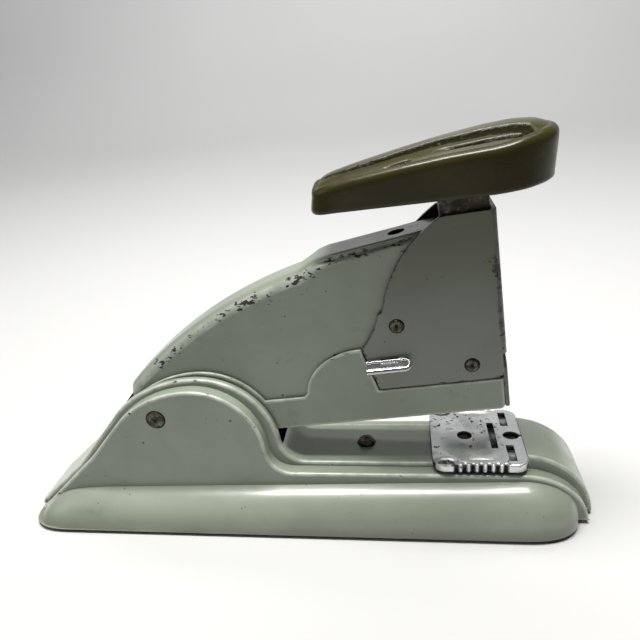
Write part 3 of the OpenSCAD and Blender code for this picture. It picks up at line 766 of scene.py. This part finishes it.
outer, inner = magazineSizes["half"], magazineSizes["half"] - magazineSizes["sheet"]
plates = [turned(slab(magazineOutline(), low, high, 0.42, (0.7, 1.6), 5), upright)
          for low, high in ((-outer, -inner), (inner, outer))]
channel = merged(*plates, channelFloor())
addPiece("magazineChannel", turned(channel, opened), "magazine", paintMagazine,
         stands=("magazine_channel",))
noseOutline = chain(
    [[-8.8, 26.8], [8.8, 26.8]], arc((3.8, 39.4), 5, 5, 0, 90, 12), arc((-3.8, 39.4), 5, 5, 90, 180, 12))
back = magazineSizes["front"]
nosePlate = turned(slab(noseOutline, back, back + 1.4, 0.35, (0.8, 1.6), 4), facing)
addPiece("nosePlate", turned(nosePlate, opened), "magazine", paintNose, stands=("nose_plate",))
print("magazine built")


# arm cover: a folded spine, softly rounded at the rear, with a raised strip ahead of the shoulder

coverSizes = {"rear": 42.1, "half": 7.5, "sheet": 0.7, "soft": 3.9, "shoulder": (107.5, 114.0),
              "front": 146.5, "oilX": 135.0, "oilRadius": 2.6}


def coverSurface():
    # At each station x the section runs wall, corner, top, corner, wall. The corner blends from a quarter
    # ellipse (soft radius) to a step with a narrow groove under the raised strip, by a smooth step across the
    # shoulder.
    s = coverSizes
    spine = chain(arc((135.1, -63), 144, 144, 130.8, 102.2, 70),
                  [[107.5, 79.2], [110.5, 80.75], [114, 81.5], [s["front"], 85.4]])
    x = np.unique(np.concatenate([np.linspace(s["rear"], 104.5, 90), np.linspace(104.8, s["front"], 60),
                                  [110.95, 111.05]]))
    zTop = np.interp(x, spine[:, 0], spine[:, 1])
    slope = np.hypot(1, np.gradient(zTop, x))
    floor = np.interp(x, [41.6, 43.1, 47, 55, 58, 111.0, 111.001], [38.0, 33.2, 29.6, 30, 34.2, 34.2, 50])
    t = np.radians(np.linspace(0, 90, 13))
    soft = np.stack([s["half"] - s["soft"] + s["soft"] * np.cos(t), s["soft"] * (1 - np.sin(t))], -1)
    step = np.array([[7.5, 3.6], [7.5, 3.0], [7.35, 2.6], [6.9, 2.35], [6.2, 2.1], [6.05, 1.7], [6.05, 1.2],
                     [6.25, 0.85], [6.5, 0.65], [6.55, 0.4], [6.4, 0.16], [6.0, 0.03], [5.2, 0.0]])
    k = np.clip((x - s["shoulder"][0]) / (s["shoulder"][1] - s["shoulder"][0]), 0, 1)
    k = (k * k * (3 - 2 * k))[:, None]
    shrink = np.interp(x, [112, 146], [1.0, 0.62])[:, None]
    across = soft[:, 0] * (1 - k) + step[:, 0] * k
    drop = soft[:, 1] * slope[:, None] * (1 - k) + step[:, 1] * shrink * k
    drop = np.minimum(drop, (zTop - floor)[:, None] * np.linspace(0.95, 0, 13))
    levels = np.linspace(0, 1, 8)[None]
    wallZ = floor[:, None] * (1 - levels) + (zTop[:, None] - drop[:, :1]) * levels
    wallY = np.full_like(wallZ, s["half"])
    topY = across[:, -1:] * np.linspace(1, 0, 7)[None, 1:]
    topZ = np.repeat(zTop[:, None], 6, 1)
    y = np.concatenate([wallY, across[:, 1:], topY], 1)
    z = np.concatenate([wallZ, zTop[:, None] - drop[:, 1:], topZ], 1)
    y = np.concatenate([-y, y[:, ::-1][:, 1:]], 1)
    z = np.concatenate([z, z[:, ::-1][:, 1:]], 1)
    wearHalf = np.concatenate([np.linspace(0, 0, 6), [0.15, 0.55],
                               np.array([0.9, 1, 1, 0.95, 0.9, 0.8, 0.65, 0.5, 0.4, 0.3, 0.25, 0.2]),
                               np.full(6, 0.15)])
    wear = np.concatenate([wearHalf, wearHalf[::-1][1:]])
    points = np.stack([np.repeat(x[:, None], y.shape[1], 1), y, z], -1)
    worn = np.repeat(wear[None], len(x), 0)
    worn = np.where(k > 0.5, worn * np.interp(x, [114, 128, 146], [1.1, 0.75, 0.9])[:, None], worn)
    nearHole = np.interp(x, [124, 133, 146], [0, 0.62, 0.8])[:, None] * (np.abs(y) < 6.3)
    worn = np.maximum(worn, nearHole)
    end = []  # the rear wall: the first section drawn in towards the middle of its foot
    for back, share in ((0.55, 0.0), (0.55, 0.5), (0.5, 0.88), (0.3, 0.965), (0.1, 0.993)):
        section = points[0] * [1, share, share] + np.array([-back, 0, floor[0] * (1 - share)])
        end.append(section)
    points = np.concatenate([np.array(end), points])
    worn = np.concatenate([np.repeat(np.array([0.0, 0.0, 0.3, 0.8, 1.0])[:, None], y.shape[1], 1), worn])
    return points.reshape(-1, 3), gridQuads(len(points), y.shape[1]), worn.ravel()


cover = coverSurface()
radius = coverSizes["oilRadius"]
oil = moved(lathe([(0, 70), (radius, 70), (radius, 95), (0, 95)], 32), (coverSizes["oilX"], 0, 0))
# its inner wall and the oil hole's faces take the dark inside material: painted shade
addPiece("armCover", turned(cover, opened), "arm", paintUpper, wall=coverSizes["sheet"],
         inner=shadeInside, cutters=[turned(oil, opened)], stands=("arm_cover",), sharp=50)
print("cover built")


# head: a sheet folded round the front, with a flared rear edge and a slot for the latch

headSizes = {"half": 9.0, "sheet": 1.15, "front": 163.2, "bend": 1.7, "top": 88.8, "bottom": 36.95,
             "frontLow": 44.8}


def headSurface():
    # Each level z is a U in plan: rear edge of the near side, forwards, round the bend, across, and back.
    s = headSizes
    upper = arc((168.1, 53.3), 41, 41, 167, 120, 40)
    flare = arc((99.6, 70.5), 28.4, 28.4, -41, -17, 20)
    edge = chain([[124.1, s["bottom"]], [120.5, 51.3]], flare, upper)
    z = np.unique(np.concatenate([np.linspace(s["bottom"], s["top"], 70), [s["frontLow"], 51.3, 62.5]]))
    rear = np.interp(z, edge[:, 1], edge[:, 0])
    straight = s["front"] - s["bend"]
    share = np.concatenate([[0, 0.012, 0.03], np.linspace(0.08, 0.97, 16), [0.985, 1.0]])
    x = rear[:, None] + (straight - rear[:, None]) * share
    bend = np.radians(np.linspace(-90, 0, 8))[1:]
    cornerX = straight + s["bend"] * np.cos(bend)
    cornerY = -s["half"] + s["bend"] + s["bend"] * np.sin(bend)
    acrossY = np.linspace(cornerY[-1], 0, 7)[1:]
    halfX = np.concatenate([x, np.repeat(cornerX[None], len(z), 0), np.full((len(z), 6), s["front"])], 1)
    halfY = np.concatenate([np.full_like(x, -s["half"]), np.repeat(cornerY[None], len(z), 0),
                            np.repeat(acrossY[None], len(z), 0)], 1)
    fullX = np.concatenate([halfX, halfX[:, ::-1][:, 1:]], 1)
    fullY = np.concatenate([halfY, -halfY[:, ::-1][:, 1:]], 1)
    fullZ = np.repeat(z[:, None], fullX.shape[1], 1)
    columns = fullX.shape[1]
    # wear along the rear edge, round the front bend and at the top and bottom rims; the head's paint inks it
    # dark, partly dirt and chips, partly painted shadow along the seams
    rowWear = np.concatenate([[1.0, 0.75, 0.2], np.zeros(12), [0.05, 0.1, 0.2, 0.35], [0.6, 0.8],
                              np.full(7, 1.0), [0.7, 0.4, 0.2, 0.1, 0, 0]])
    rowWear = np.concatenate([rowWear, rowWear[::-1][1:]])
    wear = np.repeat(rowWear[None], len(z), 0)
    rim = np.exp(-(z - s["bottom"]) / 0.8) * 0.9 + np.exp(-(s["top"] - z) / 0.8) * 0.9
    wear = np.clip(wear * np.interp(z, [40, 55, 70, 88], [0.5, 1.0, 0.85, 0.7])[:, None] + rim[:, None], 0, 1)
    quads = np.array(gridQuads(len(z), columns))
    middleZ = fullZ.ravel()[quads].mean(1)
    middleX = fullX.ravel()[quads].mean(1)
    chamfer = s["bottom"] + np.clip((middleX - 160.2) * 1.1, 0, None)
    keep = (middleZ > s["frontLow"]) | ((middleX < 161.9) & (middleZ > chamfer))
    points = np.stack([fullX, fullY, fullZ], -1).reshape(-1, 3)
    return points, quads[keep].tolist(), wear.ravel()


head = headSurface()
slotOutline = roundedBox((124.9, 44.5), (134.3, 47.4), 1.2)
latchSlot = turned(slab(slotOutline, -11.0, -6.0, 0.01, (0.02, 0.03), 2), upright)
# its inner wall and the latch slot's faces take the dark inside material: painted shade
addPiece("headHousing", turned(head, opened), "arm", paintHead, wall=headSizes["sheet"],
         inner=shadeInside, cutters=[turned(latchSlot, opened)], stands=("head_housing",), sharp=40)
print("head built")


# latch: a lever on the rear rivet with a turned-out, dished thumb tab

latchSizes = {"tabRear": 120.6, "tabFront": 134.9, "tabHigh": 48.15, "wallY": -10.6, "reach": 2.9,
              "slope": 50}


def latchTab():
    # A tongue that slopes out and down, sunk between two rolled edges: the rolled edge is a tube round a
    # racetrack in the plane of the tongue, thicker along its outer side. Places in the plane are (along x,
    # out from the head).
    s = latchSizes
    slope = math.radians(s["slope"])

    def tilted(p):
        across, lift = p[..., 1], p[..., 2]
        y = s["wallY"] - across * math.cos(slope) - lift * math.sin(slope)
        z = s["tabHigh"] - 0.9 - across * math.sin(slope) + lift * math.cos(slope)
        return np.stack([p[..., 0], y, z], -1)

    rear, wide, half, sides = s["tabRear"] + 0.7, s["reach"], s["reach"] / 2, 14
    track = chain([[rear, 0.0]], arc((s["tabFront"] - half - 0.6, half), half, half, -90, 90, 20),
                  [[rear, wide]])
    shares = np.linspace(0, 1, 6, endpoint=False)[:, None]
    fine = track[:-1, None] + (track[1:] - track[:-1])[:, None] * shares
    path = np.concatenate([fine.reshape(-1, 2), track[-1:]])
    path = np.column_stack([path, np.zeros(len(path))])
    rolled = tube(path, 1.0, sides)
    centre = np.repeat(path, sides, 0)
    thick = np.interp(centre[:, 1], [0, wide], [0.52, 0.92])[:, None]
    rolled = (centre + (rolled[0] - centre) * thick, rolled[1], rolled[2])
    sheet = slab(track, -0.45, 0.05, 0.1, (0.3, 0.6), 3)
    return merged(turned(rolled, tilted), turned(sheet, tilted))


hookOutline = chain(
    arc((0, 0), 4.2, 4.2, -20, 200, 24),
    [[-6.7, -15.7], [-9.3, -19.8], [-16.3, -20.2], [-16.3, -21.1], [-6.9, -21.1], [0.6, -14.2]],
) + rivetSizes["rearAt"]
hook = turned(slab(hookOutline, -6.3, -5.3, 0.15, (0.3, 0.6), 3), upright)
neck = turned(slab(roundedBox((125.4, 45.8), (131.2, 46.9), 0.4, 4), -11.3, -5.3, 0.2, (0.2, 0.4), 3),
              upright)
latch = merged(latchTab(), hook, neck)
addPiece("latchLever", turned(latch, opened), "latch", tabChrome, stands=("latch_lever",),
         sharp=50)
print("latch built")


# plunger and handle

plungerSizes = {"rear": 147.9, "front": 161.7, "half": 7.3, "low": 62.0, "high": 99.6,
                "boreX": 153.8, "boreRadius": 4.4, "boreTop": 86.0}
s = plungerSizes
plan = roundedBox((s["rear"], -s["half"]), (s["front"], s["half"]), 1.1, 6)
plungerBar = slab(plan, s["low"], s["high"], 0.4, (0.8, 1.6), 4)
radius, foot, top = s["boreRadius"], s["low"] - 1, s["boreTop"]
# room for the return spring and its seat's stud
bore = lathe([(0, foot), (radius, foot), (radius, top), (0, top)], 40)
bore = turned(moved(bore, (s["boreX"], 0, 0)), opened)
addPiece("plungerBar", turned(plungerBar, opened), "plunger", plungerSteel, cutters=[bore],
         stands=("plunger",), sharp=40)

handleSizes = {
    "low": 94.4, "rearX": 119.0, "frontX": 162.0, "rearHalf": 10.5, "frontHalf": 17.0, "rearLong": 7.0,
    "frontLong": 19.5,
    "crown": [(112, 98.0), (113.2, 100.6), (114.6, 102.2), (117.6, 103.9), (124, 105.2), (139, 107.6),
              (151, 109.2),
              (162, 110.2), (170, 110.5), (176, 109.9), (180.0, 108.0), (181.6, 105.4)],
    "rim": 2.5, "corner": 3.4, "rearLean": 1.1, "wall": 3.0,
    "ceiling": [(105, 99.0), (118.5, 99.6), (168, 105.4), (182, 105.4)],
}


def handleHalf(x):
    # half width of the plan: quarter ellipse at each end, straight flare between
    s = handleSizes
    rear = s["rearHalf"] * np.clip(1 - np.clip((s["rearX"] - x) / s["rearLong"], 0, 1) ** s["corner"], 0.02,
                                   1) ** (1 / s["corner"])
    middle = s["rearHalf"] + (x - s["rearX"]) * (s["frontHalf"] - s["rearHalf"]) / (s["frontX"] - s["rearX"])
    front = s["frontHalf"] * np.sqrt(np.clip(1 - ((x - s["frontX"]) / s["frontLong"]) ** 2, 0.02, 1))
    return np.where(x < s["rearX"], rear, np.where(x < s["frontX"], middle, front))


def smooth(x, low, high):
    k = np.clip((x - low) / (high - low), 0, 1)
    return k * k * (3 - 2 * k)


def handleGrooves(x, y):
    # each side: a long groove that widens forwards, a thin one beside it that joins at the front, and a short
    # one
    a = np.abs(y)
    centre = np.interp(x, [116, 123.5, 133.6, 147.4, 165.7, 173], [3.0, 4.5, 5.2, 5.4, 7.4, 8.4])
    width = np.interp(x, [115, 123, 134, 147, 165, 175], [0.7, 1.0, 1.5, 2.3, 2.8, 2.8])
    ends = smooth(x, 115.4, 118.0) * (1 - smooth(x + 0.045 * (a - centre) ** 2, 172.2, 174.4))
    deep = np.interp(x, [116, 130, 150], [0.75, 1.1, 1.5])
    longGroove = np.clip(1 - ((a - centre) / width) ** 2, 0, 1) ** 0.6 * ends * deep
    centre2 = np.interp(x, [149, 152, 162, 170, 174], [10.0, 10.7, 12.0, 12.1, 11.0])
    ends2 = smooth(x, 147.5, 156) * (1 - smooth(x, 172.6, 174.2))
    thin = np.clip(1 - ((a - centre2) / 0.75) ** 2, 0, 1) ** 0.7 * ends2 * 0.95
    ends3 = smooth(x, 134.0, 136.6) * (1 - smooth(x, 139.8, 141.8))
    short = np.clip(1 - ((a - 10.5) / 0.62) ** 2, 0, 1) * ends3 * 0.75
    between = np.clip((a - centre + 1) / 1.5, 0, 1) * np.clip((12.3 - a) / 1.2, 0, 1)
    bridge = np.clip(1 - ((x - 172.8) / 1.3) ** 2, 0, 1) * between * 0.9
    return np.maximum(np.maximum(longGroove, thin), np.maximum(short, bridge))


def handleShape():
    # Rings shrink from the plan outline towards the line y = 0. Outside: lower edge, wall, a rounded rim that
    # follows a quarter circle, then the crowned top z = crown(x) - 0.295 half (y / half)^2 less the grooves.
    # Inside: the same plan one wall in, up to a sloping ceiling.
    s = handleSizes
    frontArc = np.stack([s["frontX"] + s["frontLong"] * np.cos(np.radians(np.linspace(-90, 90, 90))),
                         s["frontHalf"] * np.sin(np.radians(np.linspace(-90, 90, 90)))], -1)
    turn = np.radians(np.linspace(90, 270, 64))
    rearArc = np.stack([-s["rearLong"] * np.abs(np.cos(turn)) ** (2 / s["corner"]),
                        s["rearHalf"] * np.sign(np.sin(turn)) * np.abs(np.sin(turn)) ** (2 / s["corner"])],
                       -1) + [s["rearX"], 0]
    sideX = np.linspace(s["frontX"], s["rearX"], 90)[1:-1]
    farSide = np.stack([sideX, handleHalf(sideX)], -1)
    outline = np.concatenate([frontArc, farSide, rearArc, (farSide * [1, -1])[::-1]])
    spine = np.stack([np.clip(outline[:, 0], s["rearX"] - 1, s["frontX"] + 4), np.zeros(len(outline))], -1)
    inward = spine - outline
    reach = np.linalg.norm(inward, axis=1, keepdims=True)
    inward = inward / reach
    crownX, crownZ = np.array(s["crown"]).T

    def topAt(p):
        x, y = p[:, 0], p[:, 1]
        half = handleHalf(x)
        z = np.interp(x, crownX, crownZ)
        z = (z + np.interp(x - 1.2, crownX, crownZ) + np.interp(x + 1.2, crownX, crownZ)) / 3
        return z - 0.295 * half * np.clip(np.abs(y) / half, 0, 1) ** 2

    rearLean = np.interp(outline[:, 0], [112, 116, 119], [s["rearLean"], 0.8, 0])[:, None]
    rings, wears = [], []
    r = s["rim"]
    for level in (0.0, 0.25, 0.6, 1.2):  # lower edge with a small rounding
        rings.append(np.column_stack([outline + inward * (0.5 * (1 - min(level, 0.6) / 0.6) ** 2),
                                      np.full(len(outline), s["low"] + level)]))
        wears.append(np.zeros(len(outline)))
    rimStart = topAt(outline + inward * (r + rearLean))
    drop = np.minimum(r, (rimStart - s["low"]) * 0.45)
    lean = np.interp(outline[:, 0], [170, 182], [0, 1.6])[:, None]
    for share in np.linspace(0.1, 1, 10):
        z = s["low"] + 1.2 + (rimStart - drop - s["low"] - 1.2) * share
        tuck = lean * (1 - share) ** 1.2 + rearLean * share
        rings.append(np.column_stack([outline + inward * tuck, z]))
        wears.append(np.zeros(len(outline)))
    for lower in range(4):  # lean the lower edge in with the front wall
        rings[lower][:, :2] += inward * lean
    for a in np.radians(np.linspace(9, 90, 10)):
        rings.append(np.column_stack([outline + inward * (rearLean + r * (1 - math.cos(a))),
                                      rimStart - drop + drop * math.sin(a)]))
        wears.append(np.zeros(len(outline)))
    for share in np.linspace(0, 1, 74)[1:]:
        move = r + rearLean + (reach - r - rearLean) * share
        p = outline + inward * move
        groove = handleGrooves(p[:, 0], p[:, 1])
        rings.append(np.column_stack([p, topAt(p) - groove]))
        wears.append(np.clip(groove / 0.8, 0, 1))
    inner = []
    ceilX, ceilZ = np.array(s["ceiling"]).T
    for share in np.linspace(1, 0, 8)[:-1]:
        p = outline + inward * (s["wall"] + (reach - s["wall"]) * share)
        inner.append(np.column_stack([p, np.interp(p[:, 0], ceilX, ceilZ)]))
    wallPlan = outline + inward * (s["wall"] + lean)
    for z in (0.0, 1.0):
        ceiling = np.interp(wallPlan[:, 0], ceilX, ceilZ)
        inner.append(np.column_stack([wallPlan, ceiling + (s["low"] + 0.3 - ceiling) * z]))
    inner.append(np.column_stack([outline + inward * (s["wall"] + lean - 0.4),
                                  np.full(len(outline), s["low"])]))
    allRings = inner + rings
    wear = np.concatenate([np.zeros(len(outline))] * len(inner) + wears)
    return np.concatenate(allRings), gridQuads(len(allRings), len(outline), True), wear


boss = slab(roundedBox((146.5, -9.0), (164.8, 9.0), 1.5, 5), 99.7, 107.0, 0.3, (0.6, 1.2), 3)
handle = merged(handleShape(), boss)
palmHandle = addPiece("palmHandle", turned(handle, opened), "plunger", olive, inner=groove,
                      stands=("handle",), sharp=60)
depth = np.zeros(len(palmHandle.data.vertices), np.float32)
palmHandle.data.attributes["wear"].data.foreach_get("value", depth)
corners = np.zeros(len(palmHandle.data.loops), np.int32)
palmHandle.data.loops.foreach_get("vertex_index", corners)
starts, totals = (np.zeros(len(palmHandle.data.polygons), np.int32) for each in range(2))
palmHandle.data.polygons.foreach_get("loop_start", starts)
palmHandle.data.polygons.foreach_get("loop_total", totals)
sunk = np.add.reduceat(depth[corners], starts) / totals > 0.62  # faces down in a groove
# faces down in a groove take the second material, painted nearly black as shade
palmHandle.data.polygons.foreach_set("material_index", sunk.astype(np.int32))
print("handle built")


# anvil: plated plate with knurled sides, clinch pockets, a stem hole and thumb scoops

def anvilOutline():
    # rounded rectangle whose long sides are scalloped by cos^2 notches 0.85 deep every 2.5
    s = anvilSizes
    outline = roundedBox((s["rear"], -s["half"]), (s["rear"] + s["length"], s["half"]), s["corner"], 14)
    x = np.linspace(s["rear"] + s["corner"], s["rear"] + s["length"] - s["corner"], 150)[1:-1]
    centres = s["rear"] + 7.2 + 2.5 * np.arange(7)
    away = np.abs(x[:, None] - centres).min(1)
    notch = 0.95 * np.cos(np.clip(away / 0.95, 0, 1) * math.pi / 2) ** 1.2
    near = np.stack([x, -s["half"] + notch], -1)
    far = np.stack([x[::-1], (s["half"] - notch)[::-1]], -1)
    corners = outline.reshape(4, -1, 2)
    return chain(corners[0], corners[1], far, corners[2], corners[3], near)


def clinchPocket(x, width, spans):
    # a cutter for each span across y: its bottom rises from each end as an arc, as a staple's leg is curled
    parts = []
    top = anvilSizes["low"] + anvilSizes["thick"] + 1
    for y0, y1 in spans:
        y = np.linspace(y0, y1, 16)
        k = np.abs(2 * (y - y0) / (y1 - y0) - 1)
        z = anvilSizes["low"] + 1.0 + 1.3 * (1 - k ** 2)
        outline = np.concatenate([np.stack([y, z], -1), [[y1, top], [y0, top]]])
        parts.append(turned(slab(outline, x - width / 2, x + width / 2, 0.01, (0.01, 0.02), 2), facing))
    return parts


s = anvilSizes
plate = slab(anvilOutline(), s["low"], s["low"] + s["thick"], 0.45, (0.9, 1.8), 5)
cutters = clinchPocket(s["row"], 2.2, [(-7.6, 7.6)])
cutters += clinchPocket(s["row"] + s["travel"], 2.5, [(5.7, 14.3), (-14.3, -5.7)])
cutters.append(moved(lathe([(0, 18), (2.45, 18), (2.45, 25), (0, 25)], 40), (s["stemX"], 0, 0)))
cutters.append(moved(lathe([(0, 20.2), (2.3, 20.2), (2.3, 25), (0, 25)], 40), (165.7, 0, 0), (1.15, 1, 1)))
cutters.append(block((166.5, -0.5, 20.6), (172, 0.5, 25)))
ball = lathe([(0, -4.2), (2.2, -3.6), (3.8, -2.2), (4.4, 0), (3.8, 2.2), (2.2, 3.6), (0, 4.2)], 32)
for side in (-1, 1):  # a thumb scoop and a long rubbed hollow on each side
    cutters.append(moved(ball, (143.9, side * 15.3, 22.9), (1.05, 0.8, 0.5)))
    cutters.append(moved(ball, (154.5, side * 14.0, 22.75), (2.1, 0.42, 0.30)))
addPiece("anvilPlate", turned(plate, placed), "anvil", chrome,
         cutters=[turned(c, placed) for c in cutters], stands=("anvil_plate",), sharp=40)
stem = lathe([(0, 14.3), (4.4, 14.3), (4.6, 14.5), (4.6, 15.7), (2.35, 15.9), (2.35, 20.6), (2.0, 20.95),
              (0.5, 21.05), (0, 21.05)], 40)
stem = turned(moved(stem, (s["stemX"], 0, 0)), placed)
addPiece("anvilStem", stem, "anvil", plungerSteel, stands=("anvil_stem",))
print("anvil built")


# springs and staples

def helix(length, radius, turns, count):
    # (radius cos t, radius sin t, rise) with the rise easing off at both ends, so the end turns lie flat
    k = np.linspace(0, 1, int(turns * count) + 1)
    rise = np.clip((k - 0.75 / turns) / (1 - 1.5 / turns), 0, 1) * length
    t = k * turns * 2 * math.pi
    return np.stack([radius * np.cos(t), radius * np.sin(t), rise], -1)


def coil(w):
    # a round wire along a helix that stands on the spring's foot, or lies along x
    path = helix(w["length"] - w["wire"], w["radius"], w["turns"], w["count"])
    lift = (0, 0, w["wire"] / 2)
    if w["lies"]:
        path, lift = path[:, [2, 1, 0]], lift[::-1]
    return tube(path + np.array(w["foot"]) + lift, w["wire"] / 2, w["sides"])


springSizes = {
    "lift": {"foot": (77.0, 0, 14.0), "length": 13.7, "radius": 4.0, "wire": 1.1, "turns": 7,
             "count": 28, "sides": 10, "lies": False},
    "back": {"foot": (plungerSizes["boreX"], 0, 50.0), "length": 33.6, "radius": 3.45, "wire": 1.1,
             "turns": 12,
             "count": 28, "sides": 10, "lies": False},
    "feed": {"foot": (69.9, 0, 29.9), "length": 58.8, "radius": 2.0, "wire": 0.6, "turns": 27,
             "count": 20, "sides": 8, "lies": True},
}
lift, back, feed = (springSizes[key] for key in ("lift", "back", "feed"))
liftPiece = addPiece("liftSpring", turned(coil(lift), placed), "base", springWire,
                     stands=("lift_spring",), sharp=60)
tuple(placed(lift["foot"]))
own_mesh(liftPiece)
backPiece = addPiece("returnSpring", turned(coil(back), opened), "arm", springWire,
                     stands=("return_spring",), sharp=60)
tuple(opened(back["foot"]))
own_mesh(backPiece)
feedPiece = addPiece("followerSpring", turned(coil(feed), opened), "magazine", springWire,
                     stands=("follower_spring",), sharp=60)
tuple(opened(feed["foot"]))
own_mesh(feedPiece)

stapleSizes = {"rear": 135.0, "front": 160.0, "half": 6.1, "low": 27.5, "high": 33.75, "wire": 0.5,
               "pitch": 0.56}


def stapleRow():
    # every staple is one bent wire with a flat section, repeated along x at the pitch
    s = stapleSizes
    bend = 0.7

    def side(leg, radius, start, end):
        # the bend over one leg
        return arc((leg * (s["half"] - bend), s["high"] - bend), radius, radius, start, end, 5)

    crown = chain([[-s["half"], s["low"]]], side(-1, bend, 180, 90), side(1, bend, 90, 0),
                  [[s["half"], s["low"]]])
    thin, foot = bend - s["wire"], s["half"] - s["wire"]
    inner = chain([[foot, s["low"]]], side(1, thin, 0, 90), side(-1, thin, 90, 180), [[-foot, s["low"]]])
    one = turned(slab(chain(crown, inner), 0.0, s["pitch"] - 0.05, 0.09, (0.01, 0.02), 3), facing)
    places = np.arange(s["rear"], s["front"] - s["pitch"], s["pitch"])
    return merged(*[moved(one, (x, 0, 0)) for x in places])


addPiece("stapleStrip", turned(stapleRow(), opened), "magazine", stapleWire,
         stands=("staple_strip",), sharp=45)
print("springs and staples built")


# the CAD pieces that stay

keptNodes = {
    "pivot_bushing": innerSteel, "anvil_spring": springWire, "staple_rail": innerSteel,
    "follower_rod": stapleWire,
    "rod_bracket": innerSteel, "latch_catch": paintMagazine, "follower": innerSteel,
    "spring_seat": innerSteel,
    "latch_spring": springWire, "driver_blade": stapleWire, "handle_insert": brass,
    "handle_screw": innerSteel,
}
for nodeName, material in keptNodes.items():
    node = frame["nodes"][nodeName]
    node.data.materials.clear()
    node.data.materials.append(material)
print("kept pieces finished")


# floor, light and camera

stageLook = {"floor": colour(0.52, 0.52, 0.515), "floorTone": colour(0.49, 0.49, 0.485),
             "sky": colour(0.93, 0.95, 1.0), "skyStrength": 0.16}


def plainFloor():
    # a wide flat sheet that curls up behind: height grows as the square of the distance past the bend
    x = np.linspace(-2.2, 2.2, 12)
    y = np.concatenate([np.linspace(-2.0, 1.0, 8), np.linspace(1.1, 2.4, 14)])
    gx, gy = np.meshgrid(x, y)
    z = np.where(gy > 1.0, (np.clip(gy - 1.0, 0, None) ** 2) * 0.9, 0.0)
    shape = (np.stack([gx, gy, z], -1).reshape(-1, 3), gridQuads(len(y), len(x)), np.zeros(gx.size))
    floor = meshObject("studioFloor", shape)
    f = Finish("studioFloor", Roughness=0.75)
    f.to("Base Color", f.blend(f.band(f.noise(1.3, 2), 0.3, 0.7), stageLook["floor"], stageLook["floorTone"]))
    floor.data.materials.append(f.material)
    floor.data.polygons.foreach_set("use_smooth", np.ones(len(floor.data.polygons), bool))


def areaLight(name, place, aim, size, power, tint=(1, 1, 1)):
    data = bpy.data.lights.new(name, "AREA")
    data.shape, data.size, data.size_y, data.energy, data.color = "RECTANGLE", size[0], size[1], power, tint
    lamp = bpy.data.objects.new(name, data)
    lamp.location = place
    lamp.rotation_euler = (Vector(aim) - Vector(place)).to_track_quat("-Z", "Y").to_euler()
    bpy.context.scene.collection.objects.link(lamp)


plainFloor()
world = bpy.data.worlds.new("softSky")
world.use_nodes = True
sky = next(n for n in world.node_tree.nodes if n.type == "BACKGROUND")
sky.inputs["Color"].default_value = stageLook["sky"]
sky.inputs["Strength"].default_value = stageLook["skyStrength"]
bpy.context.scene.world = world
areaLight("overhead", (0.0, 0.0, 0.80), (0.0, 0.0, 0.03), (0.50, 0.20), 11.5, (1.0, 0.99, 0.97))
areaLight("backdropWash", (0.0, 0.9, 1.7), (0.0, 2.0, 0.7), (1.6, 0.8), 32.0)
areaLight("window", (-0.75, -0.25, 0.55), (-0.02, 0, 0.04), (0.4, 0.5), 0.5, (0.97, 0.99, 1.0))

cameraSizes = {"focal": 637.396, "frame": 640.0, "centre": (315.155, 324.016), "sensor": 36.0,
               "place": (132.049, -184.694, 142.745),
               "right": (0.98989, 0.12103, -0.07400), "up": (0.02000, 0.39733, 0.91746)}
right = Vector(cameraSizes["right"]).normalized()
up = Vector(cameraSizes["up"])
up = (up - right * up.dot(right)).normalized()
behind = right.cross(up)
lens = bpy.data.cameras.new("camera")
lens.sensor_width = cameraSizes["sensor"]
lens.lens = cameraSizes["focal"] / cameraSizes["frame"] * cameraSizes["sensor"]
lens.shift_x = (cameraSizes["frame"] / 2 - cameraSizes["centre"][0]) / cameraSizes["frame"]
lens.shift_y = (cameraSizes["centre"][1] - cameraSizes["frame"] / 2) / cameraSizes["frame"]
lens.clip_start, lens.clip_end = 0.005, 50
camera = bpy.data.objects.new("camera", lens)
turn = Matrix((right, up, behind)).transposed().to_4x4()
camera.matrix_world = Matrix.Translation(Vector(placed(cameraSizes["place"]))) @ turn
bpy.context.scene.collection.objects.link(camera)
bpy.context.scene.camera = camera
bpy.context.scene.view_settings.view_transform = "Standard"
print("stage set")
